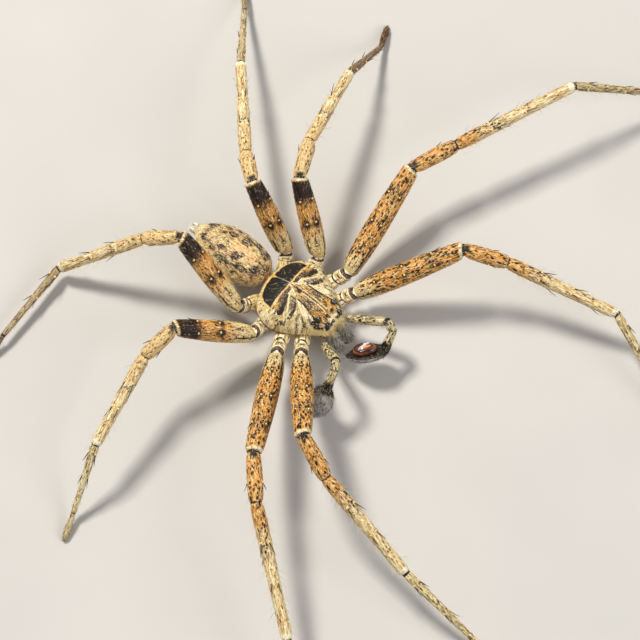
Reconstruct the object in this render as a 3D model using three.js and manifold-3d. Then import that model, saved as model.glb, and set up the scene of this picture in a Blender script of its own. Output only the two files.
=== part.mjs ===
/*
 * A male huntsman spider, as a still, life-size model that stands on its eight feet.
 *
 * Units are millimetres and +Z is up. The head looks towards -Y, and the spider's left side is +X.
 * The floor is z = 0, and the finished model is centred over the origin.
 *
 * Every sub-part is one closed mesh. Neighbours meet face to face with a small clearance.
 */

import * as THREE from 'three';
import { mergeVertices } from 'three/addons/utils/BufferGeometryUtils.js';
import Module from 'manifold-3d';

const wasm = await Module();
wasm.setup();

// Clearances
const GAP = 0.3; // between two pieces that meet face to face
const EYE_GAP = 0.08; // round an eye in its socket
const BODY_CLEARANCE = 0.5; // added to the body's half sizes to cut what meets it, so that the gap is left

// Smoothness
const BODY_SIDES = 22;
const BODY_RINGS = 14;
const LIMB_SIDES = 10;
const ORGAN_SIDES = 12; // mouthparts, spinneret cushion and palp bulb
const ORGAN_RINGS = 8;
const EYE_SIDES = 8;
const EYE_RINGS = 6;
const WELD = 1e-4; // vertices closer than this are one vertex

// The front body: y, half width, top, widest level and underside
const PROSOMA = [
  [-4.95, 1.15, 5.4, 4.8, 4.1],
  [-4.5, 1.65, 5.95, 4.4, 3.1],
  [-3.9, 2.05, 6.3, 4.2, 2.6],
  [-3.0, 2.6, 6.6, 4.0, 2.2],
  [-1.8, 3.4, 6.75, 3.8, 2.0],
  [-0.3, 4.15, 6.75, 3.7, 1.9],
  [1.0, 4.15, 6.4, 3.7, 1.95],
  [2.2, 3.6, 5.7, 3.8, 2.2],
  [3.0, 2.5, 5.0, 3.95, 2.9],
  [3.4, 1.3, 4.6, 4.05, 3.5],
];
const PROSOMA_KEEL = 3; // how flat the underside stays before it drops to the breastplate

// The rear body, in the same terms
const ABDOMEN = [
  [3.8, 0.9, 4.9, 4.1, 3.4],
  [4.4, 1.75, 5.4, 4.0, 2.6],
  [5.6, 2.3, 5.8, 3.85, 1.95],
  [7.4, 2.55, 5.95, 3.75, 1.65],
  [9.0, 2.5, 5.8, 3.7, 1.65],
  [10.6, 1.95, 5.25, 3.65, 1.95],
  [11.8, 1.15, 4.6, 3.65, 2.6],
  [12.35, 0.5, 4.15, 3.7, 3.2],
];

// The body leans to its left, about a line along its middle
const LEAN = { degrees: 8, height: 4 };

const PEDICEL = { start: [0, 2.6, 4.1], end: [0, 4.9, 4.1], radius: 0.45 };

// Mouthparts under the head: centre and half sizes, on the left side
const MAXILLA = { centre: [0.95, -3.75, 2.8], half: [0.5, 0.85, 0.5] };
const CHELICERA = { centre: [0.72, -5.3, 3.1], half: [0.56, 1.65, 0.92], dip: 52 };
const FANG = { root: [0.72, -6.05, 1.95], middle: [0.55, -6.3, 1.5], tip: [0.32, -5.7, 1.25], radius: 0.26 };
const FANG_SHAPE = { sunk: 0.3, taper: 0.8, bend: 0.1, point: 0.05, sides: 8 };

// Eyes on the left side: x, y and radius
const EYES = {
  posterior_median: [0.385, -3.87, 0.16],
  posterior_lateral: [1.2, -3.45, 0.24],
  anterior_lateral: [0.92, -4.48, 0.27],
  anterior_median: [0.28, -4.62, 0.17],
};
const EYE_SINK = 0.2; // of the eye's radius

// Six spinnerets on one cushion: sideways, height, length and radius
const SPINNERET_ROOT = [0, 12.4, 3.3];
const SPINNERET_LEAN = [0, 1, -0.12];
const SPINNERET_CUSHION = 0.55;
const SPINNERET_PROFILE = [[0, 0], [0, 1], [0.85, 0.8], [1, 0.4], [1, 0]]; // fractions of length and radius
const SPINNERET_SIDES = 6;
const SPINNERETS = [
  [0.24, -0.22, 0.95, 0.25],
  [0.14, 0.06, 0.6, 0.16],
  [0.3, 0.24, 0.85, 0.2],
];

// Palps: the joints from the trochanter to the tip of the cymbium
const PALPS = {
  left: [[1.85, -4.9, 3.2], [3.4, -8.7, 4.8], [3.05, -9.65, 4.5], [1.3, -9.95, 3.3], [-1.35, -7.25, 2.7]],
  right: [[-1.85, -4.9, 3.2], [-3.25, -7.4, 6.2], [-4.2, -7.9, 6.4], [-5.8, -8.2, 5.1], [-8.1, -8.3, 2.3]],
};
const PALP_RADII = {
  femur: [[0, 0.36], [0.15, 0.44], [0.6, 0.5], [0.9, 0.52], [1, 0.45]],
  patella: [[0, 0.42], [0.5, 0.5], [1, 0.42]],
  tibia: [[0, 0.4], [0.4, 0.45], [0.85, 0.56], [1, 0.5]],
};
const CYMBIUM = { width: 1.15, back: 0.75, belly: 0.35, taper: 0.35, sides: 14, rings: 10 };
const BULB = { along: 0.5, radius: 0.82, rise: 0.45 };
// The way the open side of each cymbium faces
const CYMBIUM_BELLY = { left: [0.3, 0.5, 0.82], right: [0.5, -0.1, -0.85] };

// Legs, from the front pair to the rear pair, as the left one sits on a level body
const LEG_PAIRS = [
  { hip: [1.15, -1.9, 2.6], trochanter: [4.5, -4.05, 3.5], lengths: [11.9, 4.6, 12.0, 12.6, 3.6], girth: 1 },
  { hip: [1.85, -0.4, 2.6], trochanter: [5.85, -2.05, 3.3], lengths: [12.2, 5.0, 13.4, 14.0, 3.8], girth: 1 },
  { hip: [1.85, 1.0, 2.6], trochanter: [5.4, 1.25, 3.2], lengths: [9.0, 4.0, 9.8, 7.6, 2.8], girth: 0.96 },
  { hip: [1.2, 2.6, 2.6], trochanter: [3.9, 4.15, 2.8], lengths: [9.5, 3.9, 10.8, 8.8, 3.2], girth: 0.96 },
];

/*
 * The pose of each leg, in degrees for femur, patella, tibia and metatarsus. A heading of 0 points
 * straight out to the side, and a positive one towards the rear. The tarsus follows the heading of the
 * metatarsus, unless it has its own, and slopes down until its tip rests on the floor.
 */
const LEG_POSES = [
  { pair: 1, side: 'left', heading: [-37, -66, -75, -112], pitch: [24, -11, -12, -15] },
  { pair: 1, side: 'right', heading: [-39, -68, -80, -86], pitch: [34, -20, -19, -19] },
  { pair: 2, side: 'left', heading: [4, -24, -25, -45], pitch: [20, 2, 2, -27] },
  { pair: 2, side: 'right', heading: [-27, -41, -51, -47], pitch: [22, 3, -16, -17] },
  { pair: 3, side: 'left', heading: [55, 23, 12, 4], tarsus: 22, pitch: [44, 1, -17, -40] },
  { pair: 3, side: 'right', heading: [45, 11, -8, -15], tarsus: -17, pitch: [33, -17, -12, -37] },
  { pair: 4, side: 'left', heading: [72, 49, 41, 36], pitch: [52, -22, -12, -29] },
  { pair: 4, side: 'right', heading: [97, 56, 46, 0], pitch: [35, -16, -35, -1] },
];

// Radius along each segment of a leg, at fractions of its length
const LEG_RADII = {
  coxa: [[0, 0.6], [0.3, 0.82], [0.62, 0.88], [0.7, 0.74], [0.78, 0.82], [0.95, 0.74], [1, 0.66]],
  femur: [[0, 0.66], [0.06, 0.92], [0.22, 1.12], [0.5, 1.16], [0.8, 1.02], [0.95, 0.9], [1, 0.7]],
  patella: [[0, 0.6], [0.2, 0.74], [0.6, 0.8], [0.9, 0.74], [1, 0.6]],
  tibia: [[0, 0.56], [0.1, 0.68], [0.3, 0.68], [0.65, 0.58], [0.93, 0.6], [1, 0.48]],
  metatarsus: [[0, 0.4], [0.06, 0.47], [0.5, 0.37], [1, 0.29]],
  tarsus: [[0, 0.27], [0.3, 0.31], [0.7, 0.36], [0.92, 0.33], [1, 0.2]],
};
const SEGMENT_ENDS = { shoulder: 1.1, reach: 1.4, narrowing: 0.9 }; // round ends, by the end's radius
const TARSUS_ENDS = { sunk: 0.2, point: 0.05 };
const FOOT_HEIGHT = 0.24; // from the floor to the middle of a tarsus tip

// Spines of a leg: place along the segment, degrees round from its top, and length
const LEG_SPINES = {
  femur: [[0.3, 0, 1.2], [0.54, 30, 1.5], [0.54, -30, 1.5], [0.78, 42, 1.4], [0.78, -42, 1.4]],
  patella: [[0.6, 80, 1.0], [0.6, -80, 1.0]],
  tibia: [[0.22, 75, 1.6], [0.22, -75, 1.6], [0.35, 150, 1.8], [0.35, -150, 1.8],
    [0.6, 75, 1.6], [0.6, -75, 1.6], [0.75, 150, 1.7]],
  metatarsus: [[0.16, 110, 1.6], [0.16, -110, 1.6], [0.42, 100, 1.4], [0.42, -100, 1.4]],
};
const SPINE = { root: 0.28, sunk: 0.3, lean: 42, sides: 5, variation: 0.12, seed: 11 };

const COLOURS = {
  carapace: 0xc9a468,
  abdomen: 0xb89762,
  spinnerets: 0xcfc3bd,
  eye: 0x0b0a0a,
  chelicera: 0x8a8274,
  coxa: 0xdcc79a,
  femur: 0xc48b48,
  patella: 0xb98a50,
  tibia: 0xd2bd8c,
  foot: 0xb5a277,
  palp: 0xbfa36c,
  cymbium: 0x70706c,
};

const vector = (xyz) => new THREE.Vector3(...xyz);
const mirrored = ([x, y, z], side) => vector([side === 'left' ? x : -x, y, z]);

// A three.js geometry as a manifold-3d solid, with shared vertices merged and flat triangles left out
function solidOf(geometry) {
  geometry.deleteAttribute('normal');
  geometry.deleteAttribute('uv');
  const merged = mergeVertices(geometry, WELD);
  const corners = merged.index.array;
  const triangles = [];
  for (let i = 0; i < corners.length; i += 3) {
    const [a, b, c] = corners.slice(i, i + 3);
    if (a !== b && b !== c && c !== a) triangles.push(a, b, c);
  }
  return new wasm.Manifold(new wasm.Mesh({
    numProp: 3,
    vertProperties: new Float32Array(merged.attributes.position.array),
    triVerts: new Uint32Array(triangles),
  }));
}

// The largest closed surface of a solid, so that a sealed hollow or a loose scrap is dropped
function largest(solid) {
  return solid.decompose().reduce((best, part) => (part.volume() > best.volume() ? part : best));
}

// Values from a table at a place along it, on a smooth curve through its rows
function sample(rows, at) {
  const last = rows.length - 1;
  const place = THREE.MathUtils.clamp(at, rows[0][0], rows[last][0]);
  const next = Math.max(1, rows.findIndex((row) => row[0] >= place));
  const [before, start, end, after] = [next - 2, next - 1, next, next + 1]
    .map((i) => rows[THREE.MathUtils.clamp(i, 0, last)]);
  const t = (place - start[0]) / (end[0] - start[0]);
  return start.slice(1).map((from, k) => {
    const to = end[k + 1];
    const span = end[0] - start[0];
    const slopeIn = ((to - before[k + 1]) / (end[0] - before[0])) * span;
    const slopeOut = ((after[k + 1] - from) / (after[0] - start[0])) * span;
    return from * (2 * t ** 3 - 3 * t ** 2 + 1) + slopeIn * (t ** 3 - 2 * t ** 2 + t)
      + to * (3 * t ** 2 - 2 * t ** 3) + slopeOut * (t ** 3 - t ** 2);
  });
}

// A body from a sphere with its poles at the front and rear, shaped by a table
function bodySolid(rows, keel, grow) {
  const geometry = new THREE.SphereGeometry(1, BODY_SIDES, BODY_RINGS);
  const position = geometry.attributes.position;
  const point = new THREE.Vector3();
  const front = rows[0][0];
  const rear = rows[rows.length - 1][0];
  for (let i = 0; i < position.count; i += 1) {
    point.fromBufferAttribute(position, i);
    const y = THREE.MathUtils.mapLinear(point.y, -1, 1, front, rear);
    const [halfWidth, top, level, underside] = sample(rows, y);
    const ring = Math.hypot(point.x, point.z) || 1;
    const across = point.x / ring;
    const upward = point.z / ring;
    const rise = upward > 0 ? (top + grow - level) * upward
      : -(level - underside + grow) * Math.abs(upward) ** keel;
    position.setXYZ(i, across * (halfWidth + grow), y + point.y * grow, level + rise);
  }
  return solidOf(geometry);
}

// The height of the front body's upper surface
function prosomaTop(x, y) {
  const [halfWidth, top, level] = sample(PROSOMA, y);
  return level + (top - level) * Math.sqrt(1 - (x / halfWidth) ** 2);
}

// A solid turned about +Z, from heights and radii
function turned(profile, sides) {
  const points = profile.map(([height, radius]) => new THREE.Vector2(radius, height));
  return solidOf(new THREE.LatheGeometry(points, sides).rotateX(Math.PI / 2));
}

function ball(radius, sides, rings) {
  return solidOf(new THREE.SphereGeometry(radius, sides, rings));
}

function ellipsoid(centre, half, dip) {
  const shape = new THREE.SphereGeometry(1, ORGAN_SIDES, ORGAN_RINGS).scale(...half);
  shape.rotateX(THREE.MathUtils.degToRad(dip)).translate(...centre);
  return solidOf(shape);
}

// A frame whose z axis runs along a segment and whose x axis looks up, or the way that is asked
function segmentFrame(start, end, upward = new THREE.Vector3(0, 0, 1)) {
  const along = end.clone().sub(start).normalize();
  const up = upward.clone().addScaledVector(along, -upward.dot(along)).normalize();
  return new THREE.Matrix4().makeBasis(up, along.clone().cross(up), along).setPosition(start);
}

// A round limb segment in its own frame, running a little past both joints
function segmentSolid(length, radii) {
  const first = radii[0][1];
  const last = radii[radii.length - 1][1];
  const { shoulder, reach, narrowing } = SEGMENT_ENDS;
  return turned([
    [-reach * first, 0],
    [-shoulder * first, first * narrowing],
    ...radii.map(([fraction, radius]) => [fraction * length, radius]),
    [length + shoulder * last, last * narrowing],
    [length + reach * last, 0],
  ], LIMB_SIDES);
}

// Keeps what lies ahead of a plane through a point, by half the gap
function trimAhead(solid, frame, point, direction) {
  const inverse = frame.clone().invert();
  const normal = direction.clone().transformDirection(inverse);
  const offset = normal.dot(point.clone().applyMatrix4(inverse));
  return solid.trimByPlane(normal.toArray(), offset + GAP / 2);
}

const trimBehind = (solid, frame, point, direction) => trimAhead(solid, frame, point, direction.clone().negate());

// The plane that halves the bend at a joint
function mitre(joints, i) {
  const arriving = joints[i].clone().sub(joints[i - 1]).normalize();
  const leaving = joints[i + 1].clone().sub(joints[i]).normalize();
  return arriving.add(leaving).normalize();
}

// A named mesh of a solid that is given in the frame it stands in
function meshOf(name, colour, solid, frame = new THREE.Matrix4()) {
  const { vertProperties, triVerts } = largest(solid).getMesh();
  const geometry = new THREE.BufferGeometry();
  geometry.setAttribute('position', new THREE.BufferAttribute(vertProperties, 3));
  geometry.setIndex(new THREE.BufferAttribute(triVerts, 1));
  geometry.computeVertexNormals();
  const shiny = colour === COLOURS.eye;
  const mesh = new THREE.Mesh(geometry, new THREE.MeshStandardMaterial({
    color: colour,
    roughness: shiny ? 0.12 : 0.8,
    metalness: 0,
  }));
  mesh.name = name;
  mesh.position.setFromMatrixPosition(frame);
  mesh.quaternion.setFromRotationMatrix(frame);
  return mesh;
}

// A repeatable run of numbers between -1 and 1
function variation(seed) {
  let state = seed;
  return () => {
    state = (state * 1664525 + 1013904223) % 4294967296;
    return state / 2147483648 - 1;
  };
}

const vary = variation(SPINE.seed);

const moved = (solid, matrix) => solid.transform(matrix.toArray());

const lean = new THREE.Matrix4().makeTranslation(0, 0, LEAN.height)
  .multiply(new THREE.Matrix4().makeRotationY(THREE.MathUtils.degToRad(LEAN.degrees)))
  .multiply(new THREE.Matrix4().makeTranslation(0, 0, -LEAN.height));

const sides = ['left', 'right'];

// The front body with the bases of the palps beneath it, enlarged all round
function prosomaSolid(grow) {
  return sides.reduce((solid, side) => solid.add(
    ellipsoid(mirrored(MAXILLA.centre, side).toArray(), MAXILLA.half.map((half) => half + grow), 0),
  ), bodySolid(PROSOMA, PROSOMA_KEEL, grow));
}

const grownProsoma = prosomaSolid(BODY_CLEARANCE);
const leaningProsoma = moved(grownProsoma, lean);
const grownAbdomen = bodySolid(ABDOMEN, 1, BODY_CLEARANCE);

function eyeCentre([x, y, radius], side) {
  return mirrored([x, y, prosomaTop(x, y) - EYE_SINK * radius], side);
}

function makeProsoma() {
  const pedicelLength = PEDICEL.end[1] - PEDICEL.start[1];
  const pedicel = turned([[0, 0], [0, PEDICEL.radius], [pedicelLength, PEDICEL.radius], [pedicelLength, 0]], LIMB_SIDES);
  const waist = moved(pedicel, segmentFrame(vector(PEDICEL.start), vector(PEDICEL.end))).subtract(grownAbdomen);
  let solid = prosomaSolid(0).add(waist);
  for (const side of sides) {
    for (const eye of Object.values(EYES)) {
      const socket = ball(eye[2] + EYE_GAP, EYE_SIDES, EYE_RINGS);
      solid = solid.subtract(socket.translate(eyeCentre(eye, side).toArray()));
    }
  }
  return meshOf('prosoma', COLOURS.carapace, solid, lean);
}

function makeEye(kind, side) {
  const eye = EYES[kind];
  const frame = lean.clone().multiply(new THREE.Matrix4().setPosition(eyeCentre(eye, side)));
  return meshOf(`eye_${kind}_${side}`, COLOURS.eye, ball(eye[2], EYE_SIDES, EYE_RINGS), frame);
}

function makeChelicera(side) {
  const centre = mirrored(CHELICERA.centre, side);
  const stem = ellipsoid(centre.toArray(), CHELICERA.half, CHELICERA.dip).subtract(grownProsoma);
  const joints = [FANG.root, FANG.middle, FANG.tip].map((joint) => mirrored(joint, side));
  const lengths = [joints[1].distanceTo(joints[0]), joints[2].distanceTo(joints[1])];
  const { sunk, taper, bend, point, sides: round } = FANG_SHAPE;
  const knuckle = FANG.radius * taper;
  const upper = turned([[-sunk, 0], [-sunk, FANG.radius], [lengths[0], knuckle], [lengths[0] + bend, 0]], round);
  const lower = turned([[-bend, 0], [0, knuckle], [lengths[1], point], [lengths[1] + point, 0]], round);
  const solid = stem
    .add(moved(upper, segmentFrame(joints[0], joints[1])))
    .add(moved(lower, segmentFrame(joints[1], joints[2])));
  return meshOf(`chelicera_${side}`, COLOURS.chelicera, solid, lean);
}

function makeSpinnerets() {
  const root = vector(SPINNERET_ROOT);
  const frame = segmentFrame(root, root.clone().add(vector(SPINNERET_LEAN)));
  let solid = ball(SPINNERET_CUSHION, ORGAN_SIDES, ORGAN_RINGS);
  for (const [sideways, height, length, radius] of SPINNERETS) {
    const profile = SPINNERET_PROFILE.map(([along, around]) => [along * length, around * radius]);
    for (const sign of [-1, 1]) {
      const finger = turned(profile, SPINNERET_SIDES);
      solid = solid.add(finger.translate([height, sign * sideways, 0]));
    }
  }
  return meshOf('spinnerets', COLOURS.spinnerets, moved(solid, frame).subtract(grownAbdomen), lean);
}

function makeCymbium(side, joints) {
  const [wrist, tip] = joints.slice(3);
  const belly = vector(CYMBIUM_BELLY[side]);
  const frame = segmentFrame(wrist, tip, belly.clone().negate());
  const length = wrist.distanceTo(tip);
  const shape = new THREE.SphereGeometry(1, CYMBIUM.sides, CYMBIUM.rings).rotateX(Math.PI / 2);
  const position = shape.attributes.position;
  for (let i = 0; i < position.count; i += 1) {
    const [x, y, z] = [position.getX(i), position.getY(i), position.getZ(i)];
    const narrowing = 1 - CYMBIUM.taper * Math.max(0, z);
    const depth = x > 0 ? CYMBIUM.back : CYMBIUM.belly;
    position.setXYZ(i, x * depth * narrowing, y * CYMBIUM.width * narrowing, (z + 1) * (length / 2 + GAP) - 2 * GAP);
  }
  const bulb = ball(BULB.radius, ORGAN_SIDES, ORGAN_RINGS).translate([-BULB.rise, 0, BULB.along * length]);
  const solid = trimAhead(solidOf(shape).add(bulb), frame, wrist, mitre(joints, 3));
  return meshOf(`palp_${side}_cymbium`, COLOURS.cymbium, solid, frame);
}

// Joins tapering spines to a limb segment in its own frame, each with its root sunk in the segment
function withSpines(solid, length, radii, spines) {
  return spines.reduce((joined, [fraction, angle, reach]) => {
    const turn = THREE.MathUtils.degToRad(angle * (1 + SPINE.variation * vary()));
    const lean = THREE.MathUtils.degToRad(SPINE.lean * (1 + SPINE.variation * vary()));
    const [radius] = sample(radii, fraction);
    const outward = new THREE.Vector3(Math.cos(turn), Math.sin(turn), 0);
    const root = outward.clone().multiplyScalar(radius - SPINE.sunk).setZ(fraction * length);
    const direction = outward.multiplyScalar(Math.cos(lean)).setZ(Math.sin(lean));
    const spine = turned([[0, 0], [0, SPINE.root], [reach * (1 + SPINE.variation * vary()), 0]], SPINE.sides);
    return joined.add(moved(spine, segmentFrame(root, root.clone().add(direction))));
  }, solid);
}

// A segment between two joints of a limb, in its own frame, trimmed at the bends
function limbPiece(joints, i, radii, spines = []) {
  const frame = segmentFrame(joints[i], joints[i + 1]);
  const length = joints[i].distanceTo(joints[i + 1]);
  let solid = withSpines(segmentSolid(length, radii), length, radii, spines);
  if (i > 0) solid = trimAhead(solid, frame, joints[i], mitre(joints, i));
  if (i < joints.length - 2) solid = trimBehind(solid, frame, joints[i + 1], mitre(joints, i + 1));
  return { solid, frame };
}

function makePalp(side) {
  const palp = new THREE.Group();
  const joints = PALPS[side].map(vector);
  joints[0].applyMatrix4(lean);
  const femur = limbPiece(joints, 0, PALP_RADII.femur);
  const clearOfBody = femur.solid.subtract(moved(leaningProsoma, femur.frame.clone().invert()));
  palp.add(meshOf(`palp_${side}_femur`, COLOURS.palp, clearOfBody, femur.frame));

  const frame = segmentFrame(joints[1], joints[2]);
  const patella = segmentSolid(joints[1].distanceTo(joints[2]), PALP_RADII.patella);
  const tibiaFrame = segmentFrame(joints[2], joints[3]);
  const tibiaLength = joints[2].distanceTo(joints[3]);
  const tibia = trimBehind(segmentSolid(tibiaLength, PALP_RADII.tibia), tibiaFrame, joints[3], mitre(joints, 3));
  const toPatella = frame.clone().invert().multiply(tibiaFrame);
  const forearm = trimAhead(patella.add(moved(tibia, toPatella)), frame, joints[1], mitre(joints, 1));
  palp.add(meshOf(`palp_${side}_tibia`, COLOURS.palp, forearm, frame));
  palp.add(makeCymbium(side, joints));
  return palp;
}

// A step along a limb: a heading of 0 is straight out to the side
function step(length, heading, pitch, side) {
  const [h, p] = [heading, pitch].map(THREE.MathUtils.degToRad);
  return mirrored([length * Math.cos(h) * Math.cos(p), length * Math.sin(h) * Math.cos(p), length * Math.sin(p)], side);
}

// The joints of a leg: hip, trochanter, knee, patella end, tibia end, metatarsus end and foot
function legJoints({ pair, side, heading, pitch, tarsus }) {
  const { hip, trochanter, lengths } = LEG_PAIRS[pair - 1];
  const joints = [hip, trochanter].map((joint) => mirrored(joint, side).applyMatrix4(lean));
  for (let i = 0; i < 4; i += 1) {
    joints.push(joints[i + 1].clone().add(step(lengths[i], heading[i], pitch[i], side)));
  }
  const ankle = joints[5];
  const fall = THREE.MathUtils.radToDeg(Math.asin((FOOT_HEIGHT - ankle.z) / lengths[4]));
  joints.push(ankle.clone().add(step(lengths[4], tarsus ?? heading[3], fall, side)));
  return joints;
}

function makeLeg(pose) {
  const leg = new THREE.Group();
  const joints = legJoints(pose);
  const { girth } = LEG_PAIRS[pose.pair - 1];
  const radii = (segment) => LEG_RADII[segment].map(([fraction, radius]) => [fraction, radius * girth]);
  const name = (segment) => `leg_${pose.pair}_${pose.side}_${segment}`;

  const coxa = limbPiece(joints, 0, radii('coxa'));
  const clearOfBody = coxa.solid.subtract(moved(leaningProsoma, coxa.frame.clone().invert()));
  leg.add(meshOf(name('coxa'), COLOURS.coxa, clearOfBody, coxa.frame));

  for (const [i, segment] of [[1, 'femur'], [2, 'patella'], [3, 'tibia']]) {
    const { solid, frame } = limbPiece(joints, i, radii(segment), LEG_SPINES[segment]);
    leg.add(meshOf(name(segment), COLOURS[segment], solid, frame));
  }

  const frame = segmentFrame(joints[4], joints[5]);
  const length = joints[4].distanceTo(joints[5]);
  const metatarsus = withSpines(
    segmentSolid(length, radii('metatarsus')), length, radii('metatarsus'), LEG_SPINES.metatarsus);
  const tarsusLength = joints[5].distanceTo(joints[6]);
  const tarsusProfile = radii('tarsus').map(([fraction, radius]) => [fraction * tarsusLength, radius]);
  const { sunk, point } = TARSUS_ENDS;
  const tarsus = turned([[-sunk, 0], ...tarsusProfile, [tarsusLength + point, 0]], LIMB_SIDES);
  const toFoot = frame.clone().invert().multiply(segmentFrame(joints[5], joints[6]));
  const floor = new THREE.Vector3(0, 0, -GAP / 2);
  const foot = trimAhead(metatarsus.add(moved(tarsus, toFoot)), frame, joints[4], mitre(joints, 4));
  leg.add(meshOf(name('foot'), COLOURS.foot, trimAhead(foot, frame, floor, new THREE.Vector3(0, 0, 1)), frame));
  return leg;
}

const spider = new THREE.Group();
spider.add(makeProsoma());
spider.add(meshOf('abdomen', COLOURS.abdomen, bodySolid(ABDOMEN, 1, 0), lean));
spider.add(makeSpinnerets());
for (const side of sides) {
  for (const kind of Object.keys(EYES)) spider.add(makeEye(kind, side));
  spider.add(makeChelicera(side));
  spider.add(makePalp(side));
}
for (const pose of LEG_POSES) spider.add(makeLeg(pose));

// The origin is on the floor under the middle of the whole
const bounds = new THREE.Box3().setFromObject(spider, true);
const middle = bounds.getCenter(new THREE.Vector3());
spider.position.set(-middle.x, -middle.y, -bounds.min.z);

export default spider;
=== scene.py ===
"""A male huntsman spider at life size, standing on its eight feet on a plain pale floor."""

import functools
import math
import operator

import bpy
import numpy as np
from mathutils import Matrix, Vector


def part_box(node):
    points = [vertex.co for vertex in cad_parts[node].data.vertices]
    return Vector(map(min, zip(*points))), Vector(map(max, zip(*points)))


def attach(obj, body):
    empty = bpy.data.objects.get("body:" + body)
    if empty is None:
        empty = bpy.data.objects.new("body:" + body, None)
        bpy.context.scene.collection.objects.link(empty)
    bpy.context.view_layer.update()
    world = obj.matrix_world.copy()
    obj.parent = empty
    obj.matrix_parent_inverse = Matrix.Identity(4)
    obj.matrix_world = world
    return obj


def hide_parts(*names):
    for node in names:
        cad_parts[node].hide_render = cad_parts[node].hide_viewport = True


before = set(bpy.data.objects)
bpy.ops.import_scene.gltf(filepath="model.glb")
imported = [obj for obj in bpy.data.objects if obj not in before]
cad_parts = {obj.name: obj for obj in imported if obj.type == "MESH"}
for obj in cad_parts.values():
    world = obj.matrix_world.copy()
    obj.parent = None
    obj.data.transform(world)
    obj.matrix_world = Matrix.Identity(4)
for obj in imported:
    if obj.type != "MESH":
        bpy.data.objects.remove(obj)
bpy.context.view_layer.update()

# The spider is modelled in millimetres, with its head towards -Y, its left side towards +X and its
# feet on z = 0, and each finished piece is brought to life size and into place.
MM = 0.001

# Front body: y, half width, top, widest level, underside
PROSOMA = [
    (-4.95, 1.15, 5.4, 4.8, 4.1), (-4.5, 1.65, 5.95, 4.4, 3.1), (-3.9, 2.05, 6.3, 4.2, 2.6),
    (-3.0, 2.6, 6.6, 4.0, 2.2), (-1.8, 3.4, 6.75, 3.8, 2.0), (-0.3, 4.15, 6.75, 3.7, 1.9),
    (1.0, 4.15, 6.4, 3.7, 1.95), (2.2, 3.6, 5.7, 3.8, 2.2), (3.0, 2.5, 5.0, 3.95, 2.9),
    (3.4, 1.3, 4.6, 4.05, 3.5),
]
PROSOMA_KEEL = 3
# Rear body, in the same terms
ABDOMEN = [
    (3.8, 0.9, 4.9, 4.1, 3.4), (4.4, 1.75, 5.4, 4.0, 2.6), (5.6, 2.3, 5.8, 3.85, 1.95),
    (7.4, 2.55, 5.95, 3.75, 1.65), (9.0, 2.5, 5.8, 3.7, 1.65), (10.6, 1.95, 5.25, 3.65, 1.95),
    (11.8, 1.15, 4.6, 3.65, 2.6), (12.35, 0.5, 4.15, 3.7, 3.2),
]
# The body leans to its left by so many degrees, about a line at this height
LEAN, LEAN_HEIGHT = 8, 4.0
PEDICEL = [(0, 2.6, 4.1), (0, 4.9, 4.1)]
PEDICEL_RADIUS = 0.4

# Mouthparts of the left side: middles and half sizes, how many degrees the jaw dips, and the fang's bends
MAXILLA = {"centre": (0.95, -3.75, 2.8), "half": (0.45, 0.8, 0.45)}
CHELICERA = {"centre": (0.72, -5.3, 3.1), "half": (0.52, 1.6, 0.86), "dip": 52}
FANG = [(0.72, -6.0, 2.0), (0.64, -6.26, 1.72), (0.52, -6.3, 1.45), (0.38, -6.05, 1.28),
        (0.3, -5.72, 1.24)]
FANG_RADII = [0.23, 0.2, 0.15, 0.09, 0.02]

# Eyes of the left side: x, y and radius
EYES = {
    "posterior_median": (0.385, -3.87, 0.16),
    "posterior_lateral": (1.2, -3.45, 0.24),
    "anterior_lateral": (0.92, -4.48, 0.27),
    "anterior_median": (0.28, -4.62, 0.17),
}
EYE_SINK = 0.2

# Spinnerets: sideways, height, length and radius
SPINNERET_ROOT = (0, 12.4, 3.3)
SPINNERETS = [(0.24, -0.22, 0.95, 0.25), (0.14, 0.06, 0.6, 0.16), (0.3, 0.24, 0.85, 0.2)]

# Palps: the joints from the trochanter to the tip of the cymbium
PALPS = {
    "left": [(1.85, -4.9, 3.2), (3.4, -8.7, 4.8), (3.05, -9.65, 4.5), (1.3, -9.95, 3.3),
             (-1.35, -7.25, 2.7)],
    "right": [(-1.85, -4.9, 3.2), (-3.25, -7.4, 6.2), (-4.2, -7.9, 6.4), (-5.8, -8.2, 5.1),
              (-8.1, -8.3, 2.3)],
}
CYMBIUM = {"width": 1.15, "back": 0.75, "belly": 0.35, "taper": 0.35, "reach": 0.3, "hollow": 0.28}
BULB = {"along": 0.5, "radius": 0.82, "rise": 0.45, "stretch": 1.45}
COIL_STEPS = 30  # places along the embolus, which is coiled round the bulb
CYMBIUM_SPREAD = 1.14  # the finished cymbium, a little fuller at its tip than the solid
# The way the open side of each cymbium faces
CYMBIUM_BELLY = {"left": (0.3, 0.5, 0.82), "right": (0.6, 0.1, -0.62)}

# Legs: hip, trochanter, lengths of the five further segments, and girth
LEG_PAIRS = [
    ((1.15, -1.9, 2.6), (4.5, -4.05, 3.5), (11.9, 4.6, 12.0, 12.6, 3.6), 1.0),
    ((1.85, -0.4, 2.6), (5.85, -2.05, 3.3), (12.2, 5.0, 13.4, 14.0, 3.8), 1.0),
    ((1.85, 1.0, 2.6), (5.4, 1.25, 3.2), (9.0, 4.0, 9.8, 7.6, 2.8), 0.96),
    ((1.2, 2.6, 2.6), (3.9, 4.15, 2.8), (9.5, 3.9, 10.8, 8.8, 3.2), 0.96),
]
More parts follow.
